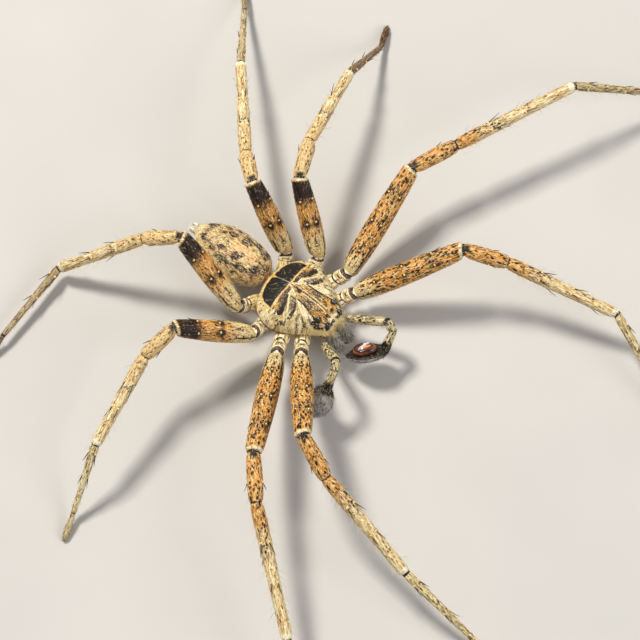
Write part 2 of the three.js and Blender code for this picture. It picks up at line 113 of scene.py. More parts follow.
# Headings and pitches of femur, patella, tibia and metatarsus, the tarsus's own heading, and how
# smoky the metatarsus is
LEG_POSES = [
    (1, "left", (-37, -66, -75, -112), (24, -11, -12, -15), None, 0.1),
    (1, "right", (-39, -68, -80, -86), (34, -20, -19, -19), None, 0.0),
    (2, "left", (4, -24, -25, -45), (20, 2, 2, -27), None, 0.25),
    (2, "right", (-27, -41, -51, -47), (22, 3, -16, -17), None, 0.0),
    (3, "left", (55, 23, 12, 4), (44, 1, -17, -40), 22, 0.85),
    (3, "right", (45, 11, -8, -15), (33, -17, -12, -37), -17, 0.1),
    (4, "left", (72, 49, 41, 36), (52, -22, -12, -29), None, 0.35),
    (4, "right", (97, 56, 46, 0), (35, -16, -35, -1), None, 0.55),
]
FOOT_HEIGHT = 0.24
SOLE_HEIGHT = 0.03  # a leg's skin goes no lower
TARSUS_SMOKE = 0.25  # how smoky every tarsus is

# Radius along each segment, at fractions of its length, down to the soft joints
SEGMENTS = {
    "coxa": [(0, 0.5), (0.12, 0.68), (0.35, 0.8), (0.55, 0.82), (0.62, 0.78), (0.655, 0.62), (0.69, 0.62),
             (0.72, 0.74), (0.8, 0.78), (0.9, 0.75), (0.955, 0.7), (0.975, 0.58), (1, 0.55)],
    "femur": [(0.012, 0.66), (0.03, 0.82), (0.07, 0.93), (0.14, 1.02), (0.24, 1.1), (0.36, 1.13),
              (0.5, 1.13), (0.64, 1.07), (0.78, 1.0), (0.88, 0.94), (0.94, 0.89), (0.965, 0.88),
              (0.982, 0.78), (1, 0.55)],
    "patella": [(0.03, 0.6), (0.07, 0.68), (0.16, 0.72), (0.35, 0.76), (0.6, 0.78), (0.82, 0.75),
                (0.93, 0.69), (0.97, 0.6), (1, 0.49)],
    "tibia": [(0.014, 0.56), (0.035, 0.63), (0.09, 0.66), (0.2, 0.67), (0.35, 0.65), (0.5, 0.6),
              (0.65, 0.56), (0.8, 0.55), (0.92, 0.57), (0.965, 0.56), (0.985, 0.49), (1, 0.37)],
    "metatarsus": [(0.012, 0.41), (0.03, 0.44), (0.08, 0.45), (0.2, 0.42), (0.4, 0.37), (0.6, 0.33),
                   (0.8, 0.3), (0.94, 0.28), (0.98, 0.27), (1, 0.22)],
    "tarsus": [(0.04, 0.24), (0.12, 0.26), (0.3, 0.28), (0.5, 0.3), (0.7, 0.32), (0.86, 0.3),
               (0.95, 0.24), (1, 0.12)],
}
PALP_SEGMENTS = {
    "femur": [(0, 0.32), (0.08, 0.38), (0.3, 0.43), (0.6, 0.46), (0.85, 0.48), (0.95, 0.45), (1, 0.36)],
    "patella": [(0.15, 0.42), (0.5, 0.45), (0.85, 0.43), (1, 0.34)],
    "tibia": [(0.1, 0.38), (0.4, 0.41), (0.7, 0.47), (0.9, 0.5), (0.97, 0.44), (1, 0.3)],
}
JOINT_TURN = 1.1  # a limb turns gradually over this distance each side of a joint

# Spines of a leg: place along the segment, degrees round from its top, and length
LEG_SPINES = {
    "femur": [(0.205, 0, 1.0), (0.47, 28, 1.3), (0.47, -28, 1.3), (0.74, 42, 1.3), (0.74, -42, 1.3)],
    "patella": [(0.6, 80, 0.9), (0.6, -80, 0.9)],
    "tibia": [(0.28, 42, 1.6), (0.28, -42, 1.6), (0.35, 150, 1.6), (0.35, -150, 1.6), (0.57, 36, 1.5),
              (0.57, -36, 1.5), (0.75, 150, 1.5)],
    "metatarsus": [(0.1, 60, 1.3), (0.1, -60, 1.3), (0.42, 66, 1.3), (0.42, -66, 1.3)],
}
SPINE_LEAN = 76
SPINE_VARIATION = 0.12
SPINE_SEED = 11
SPINE_SINK = 0.06  # a spine starts this far inside the leg's outline
COLLAR_HEIGHT = 0.12  # the pale socket at the foot of a spine

# Claws: how far forward of the foot's end and how high each bend lies, radii, and distance from the middle
CLAW_PATH = [(-0.12, 0.06), (0.04, 0.11), (0.16, 0.04), (0.21, -0.1)]
CLAW_RADII = [0.05, 0.042, 0.03, 0.008]
CLAW_SPREAD = 0.07

LIMB_SIDES = 16
ROUNDING = (2 + math.cos(2 * math.pi / LIMB_SIDES)) / 3  # what smoothing leaves of a ring's radius

SIDES = ("left", "right")

LEANING = (Matrix.Translation((0, 0, LEAN_HEIGHT)) @ Matrix.Rotation(math.radians(LEAN), 4, "Y")
           @ Matrix.Translation((0, 0, -LEAN_HEIGHT)))


# Shapes

def mirrored(xyz, side):
    return Vector((xyz[0] if side == "left" else -xyz[0], xyz[1], xyz[2]))


def sampled(rows, at):
    """Values from a table at places along it, on a smooth curve through its rows."""
    rows = np.array(rows, float)
    at = np.clip(np.asarray(at, float), rows[0, 0], rows[-1, 0])
    i = np.clip(np.searchsorted(rows[:, 0], at), 1, len(rows) - 1)
    start, end = rows[i - 1], rows[i]
    before, after = rows[np.maximum(i - 2, 0)], rows[np.minimum(i + 1, len(rows) - 1)]
    span = (end - start)[..., :1]
    t = (at[..., None] - start[..., :1]) / span
    slope_in = (end - before)[..., 1:] / (end - before)[..., :1] * span
    slope_out = (after - start)[..., 1:] / (after - start)[..., :1] * span
    return (start[..., 1:] * (2 * t ** 3 - 3 * t ** 2 + 1) + slope_in * (t ** 3 - 2 * t ** 2 + t)
            + end[..., 1:] * (3 * t ** 2 - 2 * t ** 3) + slope_out * (t ** 3 - t ** 2))


def prosoma_top(x, y):
    half_width, top, level, _ = sampled(PROSOMA, y)
    return level + (top - level) * math.sqrt(1 - (x / half_width) ** 2)


def eye_centre(kind):
    x, y, radius = EYES[kind]
    return Vector((x, y, prosoma_top(x, y) - EYE_SINK * radius))


# Where the model stands in the frame, in millimetres, from the middle of a pair of eyes
corners = [Vector(corner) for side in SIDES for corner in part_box(f"eye_posterior_median_{side}")]
between_eyes = LEANING @ (eye_centre("posterior_median") * Vector((0, 1, 1)))
STAND = sum(corners, Vector()) / len(corners) / MM - between_eyes
STAND.z = 0


def deselect():
    bpy.ops.object.select_all(action="DESELECT")


def pick(piece):
    deselect()
    piece.select_set(True)
    bpy.context.view_layer.objects.active = piece


def smooth(piece):
    """Applies one subdivision and smooth shading."""
    pick(piece)
    bpy.ops.object.modifier_add(type="SUBSURF")
    rounding = piece.modifiers[-1]
    rounding.levels = rounding.render_levels = 1
    bpy.ops.object.modifier_apply(modifier=rounding.name)
    bpy.ops.object.shade_smooth()


def points_of(piece):
    points = np.empty(len(piece.data.vertices) * 3)
    piece.data.vertices.foreach_get("co", points)
    return points.reshape(-1, 3)


def place_points(piece, points):
    piece.data.vertices.foreach_set("co", np.ascontiguousarray(points, np.float32).ravel())
    piece.data.update()


def carry(piece, name, values):
    """Writes a number or a vector on each vertex, for the looks and the coat to read."""
    values = np.asarray(values, np.float32)
    kind, field = ("FLOAT", "value") if values.ndim == 1 else ("FLOAT_VECTOR", "vector")
    layer = piece.data.attributes.get(name) or piece.data.attributes.new(name, kind, "POINT")
    layer.data.foreach_set(field, values.ravel())


def carried(piece, name):
    layer = piece.data.attributes[name]
    vector = layer.data_type == "FLOAT_VECTOR"
    values = np.empty(len(layer.data) * (3 if vector else 1), np.float32)
    layer.data.foreach_get("vector" if vector else "value", values)
    return values.reshape(-1, 3) if vector else values


def leaning(piece):
    """Tips a piece of the body with the whole body."""
    pick(piece)
    piece.matrix_world = LEANING
    bpy.ops.object.transform_apply(location=True, rotation=True, scale=True)
    if "lie" in piece.data.attributes:
        carry(piece, "lie", carried(piece, "lie") @ np.array(LEANING.to_3x3()).T)
    return piece


def turn_to(along, up=Vector((0, 0, 1))):
    """The turn whose x looks up, and whose z runs along a limb."""
    along = along.normalized()
    upward = (up - along * up.dot(along)).normalized()
    return Matrix((upward, along.cross(upward), along)).transposed()


def limb_stations(joints, tables, girth=1.0, first_part=0):
    """Rings along a limb, as centre, turn, radius, segment count and distance from its root."""
    stations, run = [], 0.0
    for i, table in enumerate(tables):
        start, end = joints[i], joints[i + 1]
        length = (end - start).length
        own = (end - start).normalized()
        bends = [own, own]
        if i > 0:
            bends[0] = (own + (start - joints[i - 1]).normalized()).normalized()
        if i < len(tables) - 1:
            bends[1] = (own + (joints[i + 2] - end).normalized()).normalized()
        for fraction, radius in table:
            bend, distance = (bends[0], fraction) if fraction < 0.5 else (bends[1], 1 - fraction)
            share = min(1.0, distance * length / JOINT_TURN)
            along = bend.lerp(own, share * share * (3 - 2 * share))
            stations.append((start.lerp(end, fraction), turn_to(along), radius * girth,
                             first_part + i + fraction, run + fraction * length))
        run += length
    return stations


def turned_by(change, centre):
    """Turns what is selected by a rotation matrix about a point."""
    axis, angle = change.to_quaternion().to_axis_angle()
    if abs(angle) > 1e-5:
        across = axis.orthogonal().normalized()
        basis = Matrix((across, axis.cross(across), axis)).transposed()
        bpy.ops.transform.rotate(value=angle, orient_axis="Z", orient_type="GLOBAL", orient_matrix=basis,
                                 orient_matrix_type="GLOBAL", constraint_axis=(False, False, True),
                                 center_override=centre)


def limb_shell(name, stations, sides=LIMB_SIDES):
    """A closed tube extruded ring by ring through stations, carrying where each point lies along it."""
    centres, turns, radii, parts, runs = zip(*stations)
    deselect()
    bpy.ops.mesh.primitive_circle_add(vertices=sides, radius=radii[0] / ROUNDING, fill_type="NGON",
                                      enter_editmode=True)
    shell = bpy.context.active_object
    shell.name = shell.data.name = name
    bpy.ops.transform.translate(value=centres[0])
    turned_by(turns[0], centres[0])
    for i in range(1, len(stations)):
        bpy.ops.mesh.extrude_region_move(TRANSFORM_OT_translate={"value": centres[i] - centres[i - 1]})
        turned_by(turns[i] @ turns[i - 1].transposed(), centres[i])
        growth = radii[i] / radii[i - 1]
        bpy.ops.transform.resize(value=(growth, growth, growth), center_override=centres[i])
    bpy.ops.object.mode_set(mode="OBJECT")

    # Each point belongs to the ring that it misses least
    points = points_of(shell)
    turns, parts, runs = np.array(turns), np.array(parts), np.array(runs)
    local = np.einsum("vsi,sij->vsj", points[:, None, :] - np.array(centres)[None], turns)
    outside = np.hypot(local[:, :, 0], local[:, :, 1]) - np.array(radii) / ROUNDING
    ring = (np.abs(local[:, :, 2]) + np.abs(outside)).argmin(1)
    local = local[np.arange(len(points)), ring]
    carry(shell, "place", np.column_stack((local[:, 0], local[:, 1], runs[ring])))
    carry(shell, "part", parts[ring])
    carry(shell, "lie", turns[ring][:, :, 2])

    # The shell unrolled, cut open along its underside
    steps = np.arctan2(local[:, 1], local[:, 0]) / (2 * math.pi / sides)
    corner = (np.round(steps).astype(int) + sides // 2) % sides
    layers = shell.data.uv_layers
    unrolled = layers[0] if layers else layers.new()
    unrolled.name = "OFBake"
    for face in shell.data.polygons:
        around = corner[list(face.vertices)]
        if around.max() - around.min() > sides // 2:
            around = np.where(around < sides // 2, around + sides, around)
        for loop, vertex, step in zip(face.loop_indices, face.vertices, around):
            unrolled.data[loop].uv = (runs[ring[vertex]] / runs[-1], step / sides)
    smooth(shell)
    return shell


def ball_shell(name, segments, rings):
    """A ball of radius 1 with its poles to the front and rear, unrolled between them."""
    deselect()
    bpy.ops.mesh.primitive_uv_sphere_add(segments=segments, ring_count=rings, radius=1,
                                         rotation=(math.pi / 2, 0, 0))
    bpy.ops.object.transform_apply(location=True, rotation=True, scale=True)
    shell = bpy.context.active_object
    shell.name = shell.data.name = name
    shell.data.uv_layers[0].name = "OFBake"
    return shell


def outline_distance(x, y, rows):
    """How far inside the outline of a body each point lies, seen from above."""
    ys = np.linspace(rows[0][0], rows[-1][0], 160)
    widths = sampled(rows, ys)[:, 0]
    outline = np.column_stack((np.concatenate((widths, -widths)), np.concatenate((ys, ys))))
    return np.sqrt(((np.column_stack((x, y))[:, None] - outline[None]) ** 2).sum(2).min(1))


def line_distance(points, lines):
    """The distance of points in a plane from the nearest of some lines, each through a few places."""
    best = np.full(len(points), 1e9)
    for line in lines:
        for start, end in zip(line, line[1:]):
            start, along = np.array(start), np.array(end) - np.array(start)
            t = np.clip(((points - start) @ along) / (along @ along), 0, 1)
            best = np.minimum(best, np.hypot(*(points - start - t[:, None] * along).T))
    return best


def dent(distance, depth, width):
    """How deep a soft hollow is, at distances from its middle."""
    return depth * np.exp(-(distance / width) ** 2)


def body_form(shell, rows, keel, inset):
    """Shapes a ball as a body, from a table of its sections."""
    points = points_of(shell)
    front, rear = rows[0][0], rows[-1][0]
    y = front + (points[:, 1] + 1) / 2 * (rear - front)
    half_width, top, level, underside = sampled(rows, y).T
    ring = np.maximum(np.hypot(points[:, 0], points[:, 2]), 1e-9)
    across, upward = points[:, 0] / ring, points[:, 2] / ring
    above = (top - inset - level) * upward
    below = -(level - underside - inset) * np.abs(upward) ** keel
    place_points(shell, np.column_stack((across * (half_width - inset), y,
                                         level + np.where(upward > 0, above, below))))


# Grooves of the carapace, as half of a mirrored pair: x and y
HEAD_GROOVE = [(0.25, -0.25), (0.75, -1.1), (1.15, -2.2), (1.6, -3.0)]
SIDE_GROOVES = [[(0.25, 0.75), (1.5, 0.75), (3.0, 1.1)], [(0.3, 0.35), (1.5, -0.1), (3.1, -0.45)],
                [(0.35, 0.05), (1.3, -1.0), (2.6, -2.1)]]
# Pits on the back of the abdomen, on its left side
ABDOMEN_PITS = [(0.55, 6.6), (0.6, 8.4)]
COAT_DEPTH = 0.05  # the skin lies this far inside the solids, to leave room for its coat


def make_carapace():
    shell = ball_shell("front_body", 96, 72)
    body_form(shell, PROSOMA, PROSOMA_KEEL, COAT_DEPTH)
    smooth(shell)
    points = points_of(shell)
    x, y, z = points.T
    level = sampled(PROSOMA, y)[:, 2]
    upper = np.clip((z - level) / 0.5, 0, 1)
    flat = np.column_stack((np.abs(x), y))
    rim = outline_distance(x, y, PROSOMA)
    hollow = dent(x, depth=0.2, width=0.12) * np.clip(1 - ((y - 0.1) / 0.75) ** 2, 0, 1)
    hollow += dent(line_distance(flat, [HEAD_GROOVE]), depth=0.11, width=0.16)
    hollow += dent(line_distance(flat, SIDE_GROOVES), depth=0.07, width=0.2) * np.clip(rim / 0.8, 0, 1)
    hollow += dent(rim - 0.42, depth=0.05, width=0.1)
    for eye_x, eye_y, radius in EYES.values():
        hollow -= dent(np.hypot(flat[:, 0] - eye_x, y - eye_y), depth=0.09, width=1.5 * radius)
    points[:, 2] -= hollow * upper
    place_points(shell, points)
    away = np.column_stack((x, y - 0.2, np.zeros_like(x)))
    away[:, 1] -= np.clip(-1.2 - y, 0, 2) * 1.5
    carry(shell, "place", points)
    carry(shell, "rim", rim)
    carry(shell, "lie", away)
    return shell


def make_abdomen():
    shell = ball_shell("rear_body", 72, 56)
    body_form(shell, ABDOMEN, 1, COAT_DEPTH)
    smooth(shell)
    points = points_of(shell)
    x, y, z = points.T
    for pit_x, pit_y in ABDOMEN_PITS:
        pit = dent(np.hypot(np.abs(x) - pit_x, y - pit_y), depth=0.07, width=0.22)
        points[:, 2] -= pit * (z > 4.5)
    place_points(shell, points)
    carry(shell, "place", points)
    carry(shell, "rim", outline_distance(x, y, ABDOMEN))
    carry(shell, "lie", np.column_stack((0.12 * x, np.ones_like(x), np.zeros_like(x))))
    return shell


def organ(name, centre, half, dip=0.0, lie=(0, -1, 0), segments=24, rings=16):
    """A rounded organ from its centre, half sizes and dip."""
    shell = ball_shell(name, segments, rings)
    pick(shell)
    shell.scale = half
    shell.rotation_euler = (math.radians(dip), 0, 0)
    shell.location = centre
    bpy.ops.object.transform_apply(location=True, rotation=True, scale=True)
    smooth(shell)
    carry(shell, "place", points_of(shell))
    carry(shell, "lie", np.tile(lie, (len(shell.data.vertices), 1)))
    return shell


def simple_limb(name, joints, radii, sides=12):
    """A tapering limb with one radius at each joint."""
    stations, run = [], 0.0
    for i, (joint, radius) in enumerate(zip(joints, radii)):
        before, after = joints[max(i - 1, 0)], joints[min(i + 1, len(joints) - 1)]
        run += (joint - before).length
        stations.append((joint, turn_to(after - before), radius, i, run))
    return limb_shell(name, stations, sides)


def leg_joints(pair, side, headings, pitches, tarsus):
    """Hip, trochanter, knee, patella end, tibia end, metatarsus end and foot of a leg."""
    hip, trochanter, lengths, _ = LEG_PAIRS[pair - 1]

    def step(length, heading, pitch):
        h, p = math.radians(heading), math.radians(pitch)
        return mirrored((length * math.cos(h) * math.cos(p), length * math.sin(h) * math.cos(p),
                         length * math.sin(p)), side)

    joints = [LEANING @ mirrored(hip, side), LEANING @ mirrored(trochanter, side)]
    for i in range(4):
        joints.append(joints[-1] + step(lengths[i], headings[i], pitches[i]))
    fall = math.degrees(math.asin((FOOT_HEIGHT - joints[-1].z) / lengths[4]))
    joints.append(joints[-1] + step(lengths[4], headings[3] if tarsus is None else tarsus, fall))
    return joints


def make_leg(pose):
    pair, side, headings, pitches, tarsus, smoke = pose
    joints = leg_joints(pair, side, headings, pitches, tarsus)
    shell = limb_shell(f"leg_{pair}_{side}", limb_stations(joints, SEGMENTS.values(), LEG_PAIRS[pair - 1][3]))
    points = points_of(shell)
    points[:, 2] = np.maximum(points[:, 2], SOLE_HEIGHT)
    place_points(shell, points)
    part = carried(shell, "part")
    carry(shell, "rear", np.full(len(part), float(pair > 2)))
    carry(shell, "smoke", np.where(part > 4, smoke, 0) + np.where(part > 5, TARSUS_SMOKE, 0))
    return shell, joints


def make_palp(side):
    joints = [Vector(joint) for joint in PALPS[side]]
    joints[0] = LEANING @ joints[0]
    stations = limb_stations(joints[:4], PALP_SEGMENTS.values(), first_part=1)
    return limb_shell(f"palp_{side}", stations, 14), joints


def make_cymbium(side, joints):
    """The spoon-shaped last segment of a palp, with its open side towards the bulb."""
    wrist, tip = joints[3], joints[4]
    length = (tip - wrist).length
    turn = np.array(turn_to(tip - wrist, -Vector(CYMBIUM_BELLY[side])))
    shell = ball_shell(f"cymbium_{side}", 40, 28)
    x, z, y = points_of(shell).T  # z runs from wrist to tip
    narrow = CYMBIUM_SPREAD * (1 - CYMBIUM["taper"] * np.maximum(0, z) ** 2)
    depth = np.where(x > 0, CYMBIUM["back"], CYMBIUM["belly"]) - COAT_DEPTH
    middle = np.clip(1 - (y / 0.75) ** 2, 0, 1) * np.clip(1 - z ** 2, 0, 1)
    hollow = np.where(x < 0, CYMBIUM["hollow"] * middle, 0)
    local = np.column_stack((x * depth * narrow + hollow, y * (CYMBIUM["width"] - COAT_DEPTH) * narrow,
                             (z + 1) * (length / 2 + CYMBIUM["reach"]) - 1.5 * CYMBIUM["reach"]))
    place_points(shell, local @ turn.T + np.array(wrist))
    pick(shell)
    bpy.ops.object.mode_set(mode="EDIT")
    bpy.ops.mesh.select_all(action="SELECT")
    bpy.ops.mesh.normals_make_consistent(inside=False)
    bpy.ops.object.mode_set(mode="OBJECT")
    carry(shell, "place", local)
    carry(shell, "rim", x)
    carry(shell, "lie", np.tile(turn[:, 2], (len(local), 1)))
    smooth(shell)
    return shell, turn


# Looks

def paint(red, green, blue):
    """A colour as a screen shows it, 0 to 255, as the light it sends back."""
    steps = [channel / 255 for channel in (red, green, blue)]
    return (*[s / 12.92 if s <= 0.04045 else ((s + 0.055) / 1.055) ** 2.4 for s in steps], 1.0)


CREAM = paint(246, 224, 166)
IVORY = paint(255, 246, 214)
STRAW = paint(244, 206, 126)
YELLOW = paint(228, 178, 78)
OLIVE = paint(178, 154, 98)
TAN = paint(206, 154, 90)
OCHRE = paint(206, 146, 76)
AMBER = paint(240, 160, 86)
GOLD = paint(242, 182, 84)
ORANGE = paint(218, 142, 60)
RUST = paint(140, 78, 40)
UMBER = paint(104, 66, 34)
DEEP_UMBER = paint(44, 28, 16)
BROWN = paint(84, 54, 34)
SOOT = paint(26, 20, 16)
BLACK = paint(11, 9, 9)
LILAC = paint(164, 160, 172)
GREY = paint(112, 110, 106)
PALE_GREY = paint(200, 198, 188)
MAUVE = paint(118, 98, 84)


class Value:
    """A number that a node gives, which can be reckoned with."""

    def __init__(self, look, socket):
        self.look, self.socket = look, socket

    def maths(self, operation, *others, clamp=False):
        return self.look.value("ShaderNodeMath", {"operation": operation, "use_clamp": clamp},
                               dict(enumerate([self, *others])))

    def __add__(self, other):
        return self.maths("ADD", other)

    def __sub__(self, other):
        return self.maths("SUBTRACT", other)

    def __mul__(self, other):
        return self.maths("MULTIPLY", other)

    def __truediv__(self, other):
        return self.maths("DIVIDE", other)

    def __or__(self, other):
        return self.maths("MAXIMUM", other)

    def __abs__(self):
        return self.maths("ABSOLUTE")

    __radd__ = __add__
    __rmul__ = __mul__
    __and__ = __mul__

    def rising(self, low, high, start=0.0, end=1.0):
        """0 up to low, 1 from high, and smooth between."""
        return self.look.value("ShaderNodeMapRange", {"interpolation_type": "SMOOTHSTEP"},
                               {0: self, 1: low, 2: high, 3: start, 4: end})

    def falling(self, low, high):
        return self.rising(low, high, 1.0, 0.0)

    def between(self, low, high, soft):
        """1 from low to high, and 0 past them."""
        return self.rising(low - soft, low) & self.falling(high, high + soft)

    def blend(self, low, high, first, second):
        """The first colour up to low, and the second from high."""
        return self.look.mix(self.rising(low, high), first, second)


def any_of(masks):
    """1 where one mask or more is 1."""
    return functools.reduce(operator.or_, masks)


class Look:
    """A material, made node by node."""

    def __init__(self, name, roughness, specular=0.5, varnish=(0.0, 0.03)):
        self.material = bpy.data.materials.new(name)
        self.material.use_nodes = True
        self.tree = self.material.node_tree
        self.tree.nodes.clear()
        self.shader = self.node("ShaderNodeBsdfPrincipled", {}, {
            "Roughness": roughness, "Specular IOR Level": specular,
            "Coat Weight": varnish[0], "Coat Roughness": varnish[1]})
        output = self.node("ShaderNodeOutputMaterial", {}, {})
        self.tree.links.new(self.shader.outputs[0], output.inputs[0])

    def feed(self, value, name="Base Color"):
        """Ties a value to one of the shader's inputs."""
        self.tree.links.new(value.socket, self.shader.inputs[name])

    def node(self, kind, settings, inputs):
        made = self.tree.nodes.new(kind)
        for name, setting in settings.items():
            setattr(made, name, setting)
        for key, value in inputs.items():
            socket = made.inputs[key]
            if isinstance(value, Value):
                self.tree.links.new(value.socket, socket)
            else:
                socket.default_value = value
        return made

    def value(self, kind, settings, inputs, output=0):
        return Value(self, self.node(kind, settings, inputs).outputs[output])

    def attribute(self, name, output="Fac"):
        return self.value("ShaderNodeAttribute", {"attribute_name": name}, {}, output)

    def vector(self, operation, *values):
        inputs = {0: values[0], 3: values[1]} if operation == "SCALE" else dict(enumerate(values))
        output = "Value" if operation in ("LENGTH", "DOT_PRODUCT") else 0
        return self.value("ShaderNodeVectorMath", {"operation": operation}, inputs, output)

    def split(self, vector):
        node = self.node("ShaderNodeSeparateXYZ", {}, {0: vector})
        return [Value(self, socket) for socket in node.outputs]

    def join(self, x, y, z=0.0):
        return self.value("ShaderNodeCombineXYZ", {}, {0: x, 1: y, 2: z})

    def noise(self, vector, scale=(1, 1, 1), detail=3.0, roughness=0.5):
        stretched = self.vector("MULTIPLY", vector, scale)
        return self.value("ShaderNodeTexNoise", {}, {"Vector": stretched, "Scale": 1.0, "Detail": detail,
                                                     "Roughness": roughness})

    def cells(self, vector, scale, output="Distance"):
        stretched = self.vector("MULTIPLY", vector, scale)
        return self.value("ShaderNodeTexVoronoi", {}, {"Vector": stretched, "Scale": 1.0}, output)

    def flecks(self, place, scale, reach, share):
        """Specks of up to a reach, in a share of the cells of a net."""
        distance = self.cells(place, scale)
        chance, size, _ = self.split(self.cells(place, scale, "Color"))
        inside = (distance - reach * (0.45 + size * 0.55)).falling(-0.07, 0.07)
        return inside & chance.falling(share - 0.02, share + 0.02)

    def mix(self, share, first, second):
        """The first colour, or the second where share is 1."""
        return self.value("ShaderNodeMix", {"data_type": "RGBA"}, {0: share, 6: first, 7: second}, 2)

    def layers(self, colour, *layers):
        """A colour with others laid over it in turn, each where its share is 1."""
        for share, over in layers:
            colour = self.mix(share, colour, over)
        return colour

    def shade(self, colour, amount):
        """A colour made lighter or darker by a number."""
        return self.vector("SCALE", colour, amount)

    def stroke(self, point, places, near, far, soft=0.07):
        """1 along a line through places, whose half width goes from near to far."""
        parts = []
        for i, (start, end) in enumerate(zip(places, places[1:])):
            line = Vector((*end, 0)) - Vector((*start, 0))
            offset = self.vector("SUBTRACT", point, (*start, 0))
            share = self.vector("DOT_PRODUCT", offset, line / line.length_squared)
            share = share.maths("ADD", 0.0, clamp=True)
            nearest = self.vector("SCALE", tuple(line), share)
            gap = self.vector("LENGTH", self.vector("SUBTRACT", offset, nearest))
            width = near + (far - near) * (share + i) * (1 / (len(places) - 1))
            parts.append((gap - width).falling(0.0, soft))
        return any_of(parts)

    def spot(self, point, centre, reach, soft=0.5):
        """1 inside an oval, fading over a share of its reach."""
        offset = self.vector("SUBTRACT", point, (*centre, 0))
        scaled = self.vector("MULTIPLY", offset, (1 / reach[0], 1 / reach[1], 0))
        return self.vector("LENGTH", scaled).falling(1 - soft, 1 + soft)

    def spots(self, point, ovals, soft=0.5):
        return any_of([self.spot(point, centre, reach, soft) for centre, reach in ovals])


